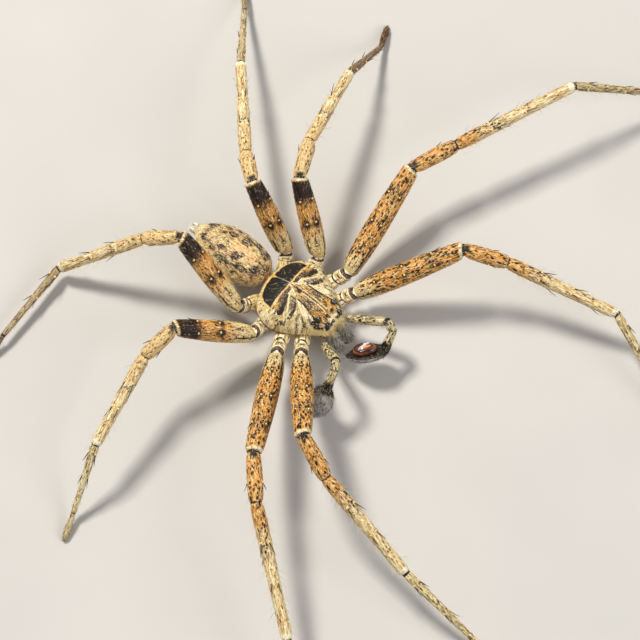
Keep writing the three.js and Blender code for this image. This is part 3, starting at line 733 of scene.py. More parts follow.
def carapace_colour(look):
    """Markings of the front body: a black saddle, dark wedges and pale rays, and a streaked head, with
    painted shade along the lower edge of the rim.
    """
    place = look.attribute("place", "Vector")
    x, y, z = look.split(place)
    rim = look.attribute("rim")
    stir = look.noise(place, (1.4, 1.4, 1.4)) - 0.5
    fine = look.noise(place, (5, 5, 5)) - 0.5
    grit = look.noise(place, (10, 10, 10), 2.0) - 0.5
    worn = fine + 0.5
    ragged = grit + worn
    bits = ragged.rising(0.3, 0.42)
    centred = x + 0.08 - (y + 0.3).maths("MAXIMUM", 0.0) * 0.08
    across = abs(centred)
    point = look.join(across + stir * 0.3 + fine * 0.2, y + stir * 0.3 - fine * 0.2)
    clean = look.join(across + fine * 0.08, y + fine * 0.08)

    # Hairs that run out from the middle, pale and dark
    angle = (y - 0.2).maths("ARCTAN2", across + 0.05)
    radius = look.vector("LENGTH", look.join(x, y - 0.2))
    thread = look.noise(look.join(angle * 11.0, radius * 1.2, stir * 2), detail=2.0, roughness=0.7)
    wool = look.noise(look.join(angle * 5.0, radius * 1.3, stir * 2 + 7), roughness=0.65)
    coat = look.layers(
        wool.blend(0.38, 0.47, OLIVE, STRAW),
        (wool.rising(0.48, 0.56), CREAM),
        (thread.rising(0.54, 0.6), IVORY),
        (thread.falling(0.4, 0.45), BROWN),
        (thread.falling(0.34, 0.39), SOOT),
        ((grit + fine * 0.4).rising(0.1, 0.16), IVORY),
        ((grit - fine * 0.4).falling(-0.14, -0.09), look.mix(rim.falling(0.4, 1.0), OLIVE, BROWN)))

    # The head, brown and mauve between pale stripes
    streak = look.noise(look.join(across * 7.0, y * 1.5, stir), roughness=0.75)
    cloud = look.spots(point, [((0.62, -1.9), (0.5, 0.95)), ((1.75, -0.4), (0.65, 0.6))])
    clotted = streak + grit * 0.6
    murk = look.layers(grit.blend(-0.1, 0.08, BROWN, MAUVE), (streak.rising(0.56, 0.64), TAN))
    crown = look.layers(
        streak.blend(0.46, 0.58, TAN, STRAW),
        (streak.rising(0.57, 0.63), CREAM),
        (streak.falling(0.44, 0.49), RUST),
        (streak.falling(0.38, 0.43), SOOT),
        (look.spot(point, (1.0, -3.2), (0.5, 0.6), 0.7) & streak.rising(0.42, 0.5), GOLD),
        (cloud & clotted.falling(0.55, 0.64), murk),
        (grit.falling(-0.1, -0.05), SOOT))
    head = look.stroke(point, [(0.1, 0.6), (0.4, -0.9), (0.5, -3.4)], 0.25, 0.8, 0.2)

    # Dark wedges parted by pale rays
    wedge = look.stroke(point, [(0.45, 0.72), (1.6, 0.72), (2.7, 0.45)], 0.16, 0.26, 0.1)
    inner = look.layers(
        (grit + fine * 0.6).blend(0.0, 0.1, SOOT, BROWN),
        (look.spot(point, (2.65, 0.66), (0.45, 0.22)) & grit.rising(-0.12, 0.0), GOLD),
        (grit.rising(0.1, 0.16), TAN))
    black = look.stroke(point, [(1.25, 0.45), (2.1, 0.15), (2.85, 0.0)], 0.1, 0.26, 0.07)
    black = black | look.stroke(point, [(1.25, -0.7), (1.9, -1.05), (2.5, -1.05)], 0.07, 0.17, 0.08) & bits
    black = black | look.stroke(point, [(1.04, 0.1), (1.1, -0.5)], 0.03, 0.06, 0.06)
    ray = look.stroke(clean, [(0.9, 0.35), (1.7, -0.1), (2.4, -0.55)], 0.03, 0.07, 0.06)
    arm_places = [(0.06, 1.0), (0.5, 0.25), (0.98, -0.6), (1.15, -1.35), (1.5, -2.7)]
    arm = look.stroke(clean, arm_places, 0.05, 0.05, 0.06)
    neck = look.stroke(clean, [(0.92, -0.35), (0.97, -1.35), (1.28, -2.8), (1.4, -3.2)], 0.025, 0.06, 0.06)

    # The line down the middle, in dots, and the dark pit on it
    stripes = look.stroke(clean, [(0.16, -0.5), (0.15, -3.4)], 0.01, 0.03, 0.05)
    beads = (y * 26).maths("SINE")
    dots = look.stroke(clean, [(0.0, -0.3), (0.0, -3.2)], 0.05, 0.03, 0.04) & beads.rising(-1.1, -0.2)
    pit = look.spot(look.join(centred, y), (-0.08, -0.22), (0.24, 0.3), 0.4)
    tail = look.stroke(clean, [(0.0, -0.2), (0.0, 0.95)], 0.07, 0.03, 0.05) & beads.rising(-0.8, 0.2)

    # The black saddle, its dusty streaks and its golden border
    oval = (across / 2.95).maths("POWER", 3) + (abs(y - 0.6) / 2.5).maths("POWER", 3)
    oval = oval + stir * 0.16 + fine * 0.12
    wavy = y + stir * 0.12
    behind = wavy.rising(1.08, 1.14)
    scratch = look.noise(look.join(across * 3.4 - y * 3.0, y * 1.1 + across, stir), roughness=0.7)
    dusk = look.mix(scratch.rising(0.56, 0.7) * 0.75, BLACK, OLIVE)
    notch = look.stroke(clean, [(0.0, 2.75), (0.0, 3.35)], 0.02, 0.22, 0.08)
    parting = look.stroke(clean, [(0.0, 1.1), (0.0, 2.8)], 0.02, 0.01, 0.05)
    line = look.stroke(look.join(across, wavy), [(0.1, 1.02), (1.3, 1.08), (2.1, 1.1), (3.05, 1.0)],
                       0.03, 0.07, 0.05)

    # Spots along the sides, dark ground round the eyes, and the pale front
    spots = look.flecks(look.join(angle * 3.4, rim * 1.3), (1, 1, 1), 0.42, 0.66) & worn.rising(0.36, 0.5)
    front = y.falling(-4.85, -4.75) | z.falling(5.0, 5.3) & y.falling(-3.5, -3.2)
    rows = look.stroke(clean, [(0.2, -4.55), (0.55, -4.68), (1.15, -4.52)], 0.06, 0.1, 0.07)
    rows = rows | look.stroke(clean, [(1.36, -3.05), (1.5, -3.75)], 0.06, 0.07, 0.1)
    sockets = []
    for kind, swell in (("posterior_median", 1.05), ("posterior_lateral", 1.15), ("anterior_lateral", 1.1)):
        eye_x, eye_y, size = EYES[kind]
        sockets.append(((eye_x, eye_y), (size * swell, size * swell)))
    patches = rows & ragged.rising(0.28, 0.42) | look.spots(clean, sockets, 0.3)

    return look.layers(
        coat,
        (head, crown),
        (cloud & clotted.falling(0.54, 0.62) & across.rising(1.1, 1.3), murk),
        (wedge & (bits + 0.5), inner),
        (black, grit.blend(0.02, 0.14, BLACK, BROWN)),
        (ray & worn.rising(0.3, 0.42), CREAM),
        (arm & bits, fine.blend(-0.1, 0.1, STRAW, IVORY)),
        (neck & bits, SOOT),
        (stripes & (grit + 0.5).rising(0.25, 0.4), CREAM),
        (dots | pit | tail, SOOT),
        (behind & oval.falling(1.24, 1.36), fine.blend(-0.1, 0.1, YELLOW, CREAM)),
        (behind & oval.falling(1.0, 1.08), dusk),
        (notch, YELLOW),
        (parting * 0.6, PALE_GREY),
        (line, worn.blend(0.4, 0.55, TAN, STRAW)),
        (spots & rim.between(0.25, 1.2, 0.2) & y.falling(1.8, 2.2), SOOT),
        (front, grit.blend(-0.1, 0.06, STRAW, CREAM)),
        (patches, BLACK),
        (z.falling(3.3, 3.6), fine.blend(-0.2, 0.2, TAN, STRAW)),
        # Painted shade: a rusty brown band along the rim's lower edge above the coxae, where the rim
        # overhangs them, then a sooty line at the very edge.
        (z.between(3.42, 3.9, 0.06) & rim.falling(0.3, 0.45), fine.blend(0.0, 0.1, RUST, BROWN)),
        (z.between(3.42, 3.65, 0.06) & rim.falling(0.12, 0.25), SOOT))


# Dark patches of the abdomen, as ovals: the middle and half sizes of each
ABDOMEN_PATCHES = [
    ((-0.8, 4.75), (0.62, 0.46)), ((1.3, 4.8), (0.62, 0.4)), ((-0.88, 7.15), (0.4, 0.52)),
    ((1.02, 7.15), (0.34, 0.6)), ((-0.98, 8.85), (0.32, 0.46)), ((1.0, 8.75), (0.38, 0.4)),
    ((0.55, 9.5), (0.24, 0.24)), ((0.15, 4.75), (0.14, 0.6)), ((1.8, 6.1), (0.36, 0.44)),
    ((-0.35, 6.65), (0.28, 0.2)), ((0.1, 4.1), (0.7, 0.18)), ((-1.5, 6.2), (0.3, 0.5)),
]


def abdomen_colour(look):
    """Markings of the rear body: dark patches on streaked cream, with a bracket before the pale end."""
    place = look.attribute("place", "Vector")
    x, y, z = look.split(place)
    stir = look.noise(place, (1.1, 0.9, 1.1)) - 0.5
    fine = look.noise(place, (4, 3, 4)) - 0.5
    grit = look.noise(place, (9, 7, 9), 2.0) - 0.5
    streak = look.noise(place, (7, 1.7, 7), roughness=0.75)
    thread = look.noise(place, (11, 2.2, 11), roughness=0.75)
    wave = look.noise(look.join(x * 8, y + stir * 0.8, z * 8), (1, 1.3, 1), roughness=0.75)
    worn = fine + 0.5
    across = abs(x)
    point = look.join(x + stir * 0.7 + fine * 0.7, y + stir * 0.9 - fine * 0.9)
    fold = look.join(across + stir * 0.4 + fine * 0.5, y + stir * 0.4 - fine * 0.5)

    heart = look.spots(point, [((0.1, 7.2), (0.6, 0.8)), ((0.15, 5.8), (0.3, 0.7))])
    marks = look.spots(point, ABDOMEN_PATCHES) | look.spot(fold, (1.35, 9.6), (0.3, 0.36))
    frayed = (marks + streak * 0.9 - 0.45 + grit * 0.5).rising(0.42, 0.6)
    frayed = frayed & (grit + fine * 0.5 + 0.5).rising(0.22, 0.34)
    net = look.stroke(fold, [(1.3, 5.3), (1.35, 6.4), (1.75, 7.6), (1.7, 8.8)], 0.12, 0.1, 0.2)
    net = net | look.stroke(point, [(-1.25, 9.9), (-0.85, 10.5)], 0.06, 0.08, 0.1)
    net = net | look.spot(point, (0.0, 8.6), (0.35, 0.25))
    net = net | look.stroke(point, [(0.5, 10.0), (1.2, 10.6)], 0.04, 0.06, 0.12)
    bracket_places = [(-1.0, 10.7), (-0.7, 11.35), (0.0, 11.12), (0.5, 11.15), (0.9, 11.4), (1.1, 10.8)]
    bracket = look.stroke(point, bracket_places, 0.18, 0.15, 0.1)
    umber = thread.blend(0.52, 0.64, DEEP_UMBER, UMBER)
    flank = (across + stir * 0.5).rising(1.2, 1.7)
    edge = y.rising(11.6, 11.8) | (across + grit * 0.3).rising(2.2, 2.4)

    return look.layers(
        streak.blend(0.4, 0.52, OLIVE, STRAW),
        (streak.rising(0.5, 0.58), CREAM),
        ((stir + fine * 0.6).rising(0.04, 0.12) & streak.falling(0.52, 0.58), TAN),
        ((fine + grit * 0.6).rising(0.08, 0.13) & streak.falling(0.54, 0.6), BROWN),
        (heart, grit.blend(-0.06, 0.08, AMBER, CREAM)),
        (marks.rising(0.02, 0.2) & worn.rising(0.38, 0.5), OCHRE),
        (net & streak.falling(0.54, 0.6), umber),
        (frayed | bracket & worn.rising(0.3, 0.4), umber),
        (flank & wave.falling(0.4, 0.46), umber),
        (flank & wave.rising(0.56, 0.62) & z.falling(4.0, 4.8), PALE_GREY),
        (edge, thread.blend(0.36, 0.5, STRAW, CREAM)),
        (thread.falling(0.38, 0.44), BROWN),
        (thread.falling(0.32, 0.38), SOOT),
        (thread.rising(0.56, 0.63), IVORY),
        ((z + stir).falling(2.9, 3.7), thread.blend(0.4, 0.55, GREY, PALE_GREY)))


def leg_colour(look):
    """Markings of a leg: black specks on gold, spots and bands on the femur, and pale, streaked ends."""
    place = look.attribute("place", "Vector")
    part = look.attribute("part")  # 0 to 1 along the coxa, 1 to 2 along the femur, and so on
    rear = look.attribute("rear")
    up, side, _ = look.split(place)
    angle = side.maths("ARCTAN2", up)
    turn = abs(angle)
    stir = look.noise(place, (1.6, 1.6, 1.0)) - 0.5
    fine = look.noise(place, (6, 6, 3)) - 0.5
    streak = look.noise(place, (8, 8, 1.1), roughness=0.75)
    thread = look.noise(place, (16, 16, 2.2), roughness=0.75)
    worn = fine + 0.5
    along = part + fine * 0.05

    # Ground colour from the root to the tip, streaked with pale and dark hair
    tan = streak.blend(0.36, 0.5, TAN, CREAM)
    gold = look.layers(streak.blend(0.42, 0.58, ORANGE, GOLD),
                       ((streak + stir * 0.3).rising(0.54, 0.64), CREAM))
    pale = look.layers(streak.blend(0.4, 0.54, TAN, CREAM), (streak.rising(0.52, 0.62), IVORY))
    far = look.layers((streak + rear * 0.07).blend(0.44, 0.55, OLIVE, CREAM),
                      ((streak + rear * 0.04).rising(0.56, 0.64), IVORY))
    lower = up.falling(-0.3, 0.1) & part.between(1.1, 2.0, 0.1)
    under = up.falling(-0.6, -0.25) & part.between(1.0, 3.5, 0.2)

    # Specks, thickest along the top, gathered to spots round the spines of the femur
    flat = look.join(turn, along)
    round_top = (up + stir * 0.6).rising(-0.25, 0.35)
    dense = look.flecks(place, (3.5, 3.5, 2.2), 0.52, 0.82) & (stir + 0.5 - rear * 0.18).rising(0.28, 0.42)
    small = look.flecks(place, (5.4, 5.4, 3.2), 0.48, 0.76) & (fine + 0.6 - rear * 0.14).rising(0.4, 0.5)
    body = part.between(1.07, 1.96, 0.04)
    knee = part.between(2.03, 3.35, 0.06) & (look.noise(place, (3, 3, 0.7), 2.0) + 0.1).rising(0.42, 0.56)
    foot = part.rising(4.0, 4.05) & look.noise(place, (4, 4, 1), 2.0).rising(0.44, 0.54)
    specks = (((dense | small) & (body | knee)) | (small & foot)) & round_top
    uneven = look.join(abs(angle + stir * 1.2), along + stir * 0.12)
    spots = look.spot(uneven, (0.5, 1.47), (0.36, 0.05), 0.7)
    spots = spots | look.spot(uneven, (0.6, 1.74), (0.5, 0.055), 0.8)
    spots = spots & worn.rising(0.42, 0.54) | look.spot(flat, (0.0, 1.205), (0.2, 0.024))
    sockets = [((math.radians(degrees), first + fraction), reach)
               for segment, first, reach in (("femur", 1, (0.2, 0.02)), ("tibia", 3, (0.16, 0.01)))
               for fraction, degrees, _ in LEG_SPINES[segment] if 0 <= degrees < 90]
    rings = look.spots(look.join(turn, part), sockets, 0.3)

    # The black bands of the rear femora, with a rusty underside
    pair = look.spot(flat, (0.5, 1.45), (0.42, 0.05))
    ragged = along + streak * 0.3 - 0.15 + turn * 0.02
    band = ragged.rising(1.7, 1.78) & part.falling(1.955, 1.965) & (up + fine * 1.5).rising(-0.45, 0.1)
    blush = ragged.between(1.6, 1.95, 0.05) & rear & up.falling(-0.1, 0.4)

    # Dark lines along the upper edges of the femur's base, and dark streaks near the foot
    hem = abs(abs(angle + fine * 0.2) - 0.95).falling(0.06, 0.14) & part.between(1.03, 1.26, 0.04)
    dusk = part.between(4.0, 5.2, 0.05) & streak.falling(0.42, 0.47) & fine.rising(-0.08, 0.0)
    fleck = look.flecks(place, (6, 6, 1.6), 0.4, 0.3) & part.rising(3.1, 3.3)

    # Coxa and trochanter: whitish, with painted highlights and painted shade along their folds, and dark arcs
    # that bend back over the top
    arc = part + (part - 1).maths("MAXIMUM", 0.0) * 2 - (angle * angle) * 0.055 + stir * 0.07 + fine * 0.035
    # Pale and brown streaks along the coxa and trochanter are painted highlights and painted shade of folds,
    # laid over their own whitish tone.
    fold_light_and_shade = look.noise(look.join(angle * 2.6, part * 2.2, stir * 2), roughness=0.6)
    fold = look.layers(
        fold_light_and_shade.blend(0.4, 0.48, OLIVE, STRAW),
        (fold_light_and_shade.rising(0.47, 0.56), IVORY),
        (fold_light_and_shade.falling(0.34, 0.4), BROWN),
        (thread.falling(0.34, 0.4), BROWN),
        (arc.between(0.61, 0.635, 0.01), fine.blend(-0.1, 0.05, SOOT, BROWN)),
        (arc.between(0.645, 0.67, 0.008) & worn.rising(0.4, 0.5), IVORY),
        (arc.between(0.69, 0.7, 0.008) | arc.between(0.79, 0.8, 0.008), OLIVE),
        (look.spot(look.join(angle, arc), (0.0, 0.74), (0.34, 0.026), 0.4), SOOT),
        (arc.between(0.85, 0.93, 0.016), fine.blend(-0.05, 0.1, BROWN, MAUVE)),
        (arc.between(0.82, 0.84, 0.006) | arc.between(0.96, 0.985, 0.008), IVORY),
        (arc.between(0.93, 0.952, 0.006), SOOT))

    return look.layers(
        (along + stir * 0.3 - rear * 0.16).blend(1.06, 1.26, tan, gold),
        (part.between(2.0, 3.2, 0.03) & rear * 0.55, CREAM),
        ((along + stir * 0.4).rising(3.06, 3.3), pale),
        ((along + stir * 0.2).rising(3.98, 4.1), far),
        (lower & streak.falling(0.46, 0.54), RUST),
        (thread.rising(0.56, 0.63), CREAM),
        (thread.falling(0.36, 0.43), BROWN),
        (thread.falling(0.28, 0.33) & part.rising(1.0, 1.05), SOOT),
        (specks, SOOT),
        (spots | ((pair | band) & rear) | rings, thread.blend(0.5, 0.6, BLACK, BROWN)),
        (blush & streak.falling(0.5, 0.56), fine.blend(0.0, 0.1, RUST, BROWN)),
        (hem & worn.rising(0.3, 0.4), stir.blend(-0.05, 0.1, SOOT, BROWN)),
        (dusk, BROWN),
        (fleck, BROWN),
        (look.attribute("smoke") & streak.rising(0.25, 0.5), thread.blend(0.5, 0.6, BROWN, RUST)),
        (part.between(1.972, 1.99, 0.005), fine.blend(-0.12, 0.05, YELLOW, IVORY)),
        (part.between(1.993, 2.03, 0.006) & worn.rising(0.2, 0.35), SOOT),
        (look.spot(flat, (0.2, 2.07), (0.4, 0.05), 0.6), SOOT),
        (part.between(2.985, 3.003, 0.005), SOOT),
        (part.between(3.955, 3.985, 0.01) & worn.rising(0.36, 0.5), IVORY),
        (part.between(3.992, 4.008, 0.004) | part.between(4.99, 5.02, 0.01), SOOT),
        (arc.falling(0.985, 1.0), fold),
        (under * 0.6, streak.blend(0.3, 0.6, RUST, TAN)))


def palp_colour(look):
    """Markings of a palp: dark specks on cream, and dark, shiny joints."""
    place = look.attribute("place", "Vector")
    part = look.attribute("part")
    streak = look.noise(place, (9, 9, 1.5), roughness=0.7)
    thread = look.noise(place, (18, 18, 3), roughness=0.7)
    specks = look.flecks(place, (4.4, 4.4, 2.8), 0.52, 0.9) | thread.falling(0.42, 0.47)
    specks = specks | look.flecks(place, (3.0, 3.0, 2.0), 0.5, 0.6) & streak.falling(0.5, 0.58)
    return look.layers(
        streak.blend(0.38, 0.54, OLIVE, CREAM),
        (thread.rising(0.54, 0.62), IVORY),
        (specks, SOOT),
        (part.between(1.95, 2.05, 0.03) | part.rising(3.48, 3.66), BLACK),
        (part.between(2.93, 3.0, 0.03), BROWN))


def cymbium_colour(look):
    """A grey, downy back, and a dark hollow on the open side."""
    place = look.attribute("place", "Vector")
    along = look.split(place)[2]
    streak = look.noise(place, (9, 9, 2), roughness=0.75)
    return look.layers(
        streak.blend(0.4, 0.58, GREY, PALE_GREY),
        (along.rising(1.2, 2.4) & streak.rising(0.42, 0.56), LILAC),
        (streak.falling(0.36, 0.42), SOOT),
        (along.falling(0.1, 0.5), streak.blend(0.55, 0.65, SOOT, OLIVE)),
        (look.attribute("rim").falling(-0.3, -0.12), streak.blend(0.5, 0.7, BLACK, BROWN)))


def chelicera_colour(look):
    """Grey down over a dark shell, cream at the top."""
    place = look.attribute("place", "Vector")
    streak = look.noise(place, (9, 3, 3), roughness=0.7)
    return look.layers(
        streak.blend(0.4, 0.58, GREY, PALE_GREY),
        (look.split(place)[2].rising(3.9, 4.4), CREAM),
        (streak.falling(0.34, 0.42), SOOT))


def spinneret_colour(look):
    return look.noise(look.attribute("place", "Vector"), (6, 6, 3), 2.0).blend(0.3, 0.6, LILAC, IVORY)


def sternum_colour(look):
    return look.noise(look.attribute("place", "Vector"), (5, 5, 5)).blend(0.3, 0.6, RUST, TAN)


MARKINGS = {
    "carapace": carapace_colour,
    "abdomen": abdomen_colour,
    "leg": leg_colour,
    "palp": palp_colour,
    "cymbium": cymbium_colour,
    "chelicera": chelicera_colour,
    "spinneret": spinneret_colour,
    "sternum": sternum_colour,
}


def skin_look(kind):
    """Skin under a short coat, whose fine lie is in its bump."""
    look = Look(f"{kind} skin", 0.55, specular=0.4)
    look.feed(look.shade(MARKINGS[kind](look), 0.9))
    nap = look.noise(look.attribute("place", "Vector"), (16, 16, 5), roughness=0.6)
    bump = {"Strength": 0.5, "Distance": 0.00006, "Height": nap}
    look.feed(look.value("ShaderNodeBump", {}, bump), "Normal")
    return look.material


def coat_look(kind):
    """Hair in the same markings as the skin beneath it, with some pale and some dark hairs among it."""
    look = Look(f"{kind} coat", 0.7, specular=0.15)
    own = look.attribute("own")
    bright = 0.25 if kind == "abdomen" else 0.5
    colour = look.layers(
        MARKINGS[kind](look),
        (look.attribute("pale"), CREAM),
        (own.rising(0.84, 0.86) * bright, IVORY),
        (own.falling(0.12, 0.14) * 0.8, SOOT))
    look.feed(look.shade(colour, 0.86 + own * 0.2 + look.attribute("tip") * 0.2))
    return look.material


def plain_look(name, dark, light, roughness, scale=900, collar=None, **settings):
    """A hard, shiny finish with faint cloudy variation, and perhaps a collar of its own colour."""
    look = Look(name, roughness, **settings)
    cloud = look.noise(look.value("ShaderNodeTexCoord", {}, {}, "Object"), (scale, scale, scale))
    colour = cloud.blend(0.3, 0.7, dark, light)
    if collar:
        colour = look.mix(look.attribute("collar"), colour, collar)
    look.feed(colour)
    return look.material


# Coat

TALLEST = 11.68  # no hair ends above this height
LOWEST = 0.01  # and none goes below this one
CELL = 0.02  # places closer than this count as one when a seed is made
ROOT_DEPTH = 0.03  # hairs start this far under the skin
PATCH = 0.003  # the side of a hair's own square on the unrolled skin

# A hair: three points at its root, three half way and its tip, and the triangles between them
HAIR_FACES = np.array([(0, 2, 1), (0, 1, 4), (0, 4, 3), (1, 2, 5), (1, 5, 4), (2, 0, 3), (2, 3, 5),
                       (3, 4, 6), (4, 5, 6), (5, 3, 6)])
HAIR_HEIGHTS = (0, 0, 0, 0.5, 0.5, 0.5, 1)
HAIR_SQUARE = np.array([(0, 0), (0, 1), (0, 0.5), (0.5, 0), (0.5, 1), (0.5, 0.5), (1, 0.5)]) * PATCH

# Growths of hair on each kind of shell: tufts to the square millimetre, length, width, lift in
# degrees, how much they curl down, how pale they are, how far they stray from their lie, and where
# they grow. A leg's part counts from 0 at the hip to 6 at the foot.
HAIR = {
    "leg": [
        (34, 0.32, 0.048, 10, 0.3, 0.0, 0.25, lambda d: np.where(d["part"] < 1, 0.3, 1)),
        (1.3, 0.95, 0.03, 48, 0.35, 0.75, 0.25,
         lambda d: np.clip(d["part"] - 2.7, 0, 1) * (d["part"] < 5) + 0.25 * (d["part"] > 1)),
        (2.0, 1.15, 0.03, 60, 0.4, 0.8, 0.25,
         lambda d: (d["normal"][:, 2] < 0.25) * ((d["part"] > 3) & (d["part"] < 4.6))),
        (7.0, 0.9, 0.032, 48, 0.3, 0.45, 0.25,
         lambda d: (1 - d["rear"]) * (np.abs(d["normal"][:, 2] + 0.3) < 0.35)
         * ((d["part"] > 3.08) & (d["part"] < 4))),
        (60, 0.26, 0.045, 62, 0.1, 0.0, 0.25, lambda d: (d["normal"][:, 2] < -0.1) * (d["part"] > 4.75)),
        (40, 0.3, 0.04, 30, 0.3, 0.0, 0.25, lambda d: d["part"] > 5.2),
    ],
    "carapace": [
        (45, 0.26, 0.04, 8, 0.3, 0.0, 0.25,
         lambda d: np.where(d["point"][:, 2] > 3.6, np.clip((d["rim"] - 0.05) * 4, 0.25, 1), 0.3)),
        (1.2, 0.5, 0.025, 45, 0.2, 0.4, 0.25, lambda d: (d["point"][:, 2] > 4.2) * (d["point"][:, 1] < 0.8)),
        (30, 0.5, 0.04, 35, 0.4, 0.7, 0.25, lambda d: (d["point"][:, 1] < -4.3) * (d["point"][:, 2] < 5.3)),
    ],
    "abdomen": [(64, 0.33, 0.038, 9, 0.3, 0.0, 0.25, None), (2.5, 0.8, 0.026, 36, 0.3, 0.5, 0.25, None)],
    "chelicera": [(75, 0.55, 0.035, 24, 0.3, 0.0, 0.25, None), (8, 0.9, 0.03, 45, 0.3, 0.4, 0.25, None)],
    "palp": [
        (48, 0.32, 0.038, 16, 0.3, 0.0, 0.25, None),
        (12, 0.55, 0.028, 38, 0.3, 0.5, 0.25, lambda d: np.where(d["part"] < 3.2, 1, 0.4)),
    ],
    "cymbium": [
        (110, 0.3, 0.035, 9, 0.3, 0.0, 0.25, lambda d: d["rim"] > -0.08),
        (90, 0.42, 0.028, 34, 0.3, 0.0, 0.7, lambda d: np.abs(d["rim"]) < 0.26),
        (60, 0.34, 0.028, 40, 0.3, 0.12, 1.2, lambda d: (d["rim"] < -0.1) & (d["rim"] > -0.6)),
    ],
    "spinneret": [(45, 0.3, 0.035, 25, 0.3, 0.0, 0.25, None)],
}


def unit(vectors):
    return vectors / np.maximum(np.linalg.norm(vectors, axis=1), 1e-9)[:, None]


def mesh_from(name, points, triangles):
    mesh = bpy.data.meshes.new(name)
    mesh.vertices.add(len(points))
    mesh.vertices.foreach_set("co", points.astype(np.float32).ravel())
    mesh.loops.add(len(triangles) * 3)
    mesh.loops.foreach_set("vertex_index", triangles.astype(np.int32).ravel())
    mesh.polygons.add(len(triangles))
    mesh.polygons.foreach_set("loop_start", np.arange(0, len(triangles) * 3, 3, dtype=np.int32))
    mesh.polygons.foreach_set("use_smooth", np.ones(len(triangles), bool))
    mesh.update()
    piece = bpy.data.objects.new(name, mesh)
    bpy.context.scene.collection.objects.link(piece)
    return piece


def triangles_of(mesh, points):
    """The points and corners of each triangle, and a seed from its place.

    Blender's own order of points and faces varies from run to run, and this one doesn't.
    """
    ends = np.empty(len(mesh.loops), np.int32)
    mesh.loops.foreach_get("vertex_index", ends)
    starts, sides = np.empty((2, len(mesh.polygons)), np.int32)
    mesh.polygons.foreach_get("loop_start", starts)
    mesh.polygons.foreach_get("loop_total", sides)
    rank = np.unique(np.round(points / CELL), axis=0, return_inverse=True)[1].reshape(-1)
    triangles = []
    for count, fans in ((3, [(0, 1, 2)]), (4, [(0, 1, 2), (0, 2, 3)])):
        loops = starts[sides == count][:, None] + np.arange(count)
        first = rank[ends[loops]].argmin(1)[:, None]
        loops = np.take_along_axis(loops, (first + np.arange(count)) % count, 1)
        triangles += [loops[:, fan] for fan in fans]
    loops = np.concatenate(triangles)
    cells = np.round(points[ends[loops]].mean(1) / CELL).astype(np.int64).astype(np.uint64)
    seeds = (cells * np.array([73856093, 19349663, 83492791], np.uint64)).sum(1, dtype=np.uint64)
    order = np.argsort(seeds, kind="stable")
    return ends[loops[order]], loops[order], seeds[order]


def chance(seeds, draw):
    """Numbers from 0 to 1 that depend only on the seeds and on which draw it is."""
    mixed = seeds + np.uint64(draw * 0x9E3779B97F4A7C15 % 2 ** 64)
    mixed = (mixed ^ (mixed >> np.uint64(30))) * np.uint64(0xBF58476D1CE4E5B9)
    mixed = (mixed ^ (mixed >> np.uint64(27))) * np.uint64(0x94D049BB133111EB)
    return ((mixed ^ (mixed >> np.uint64(31))) >> np.uint64(11)) / 2.0 ** 53


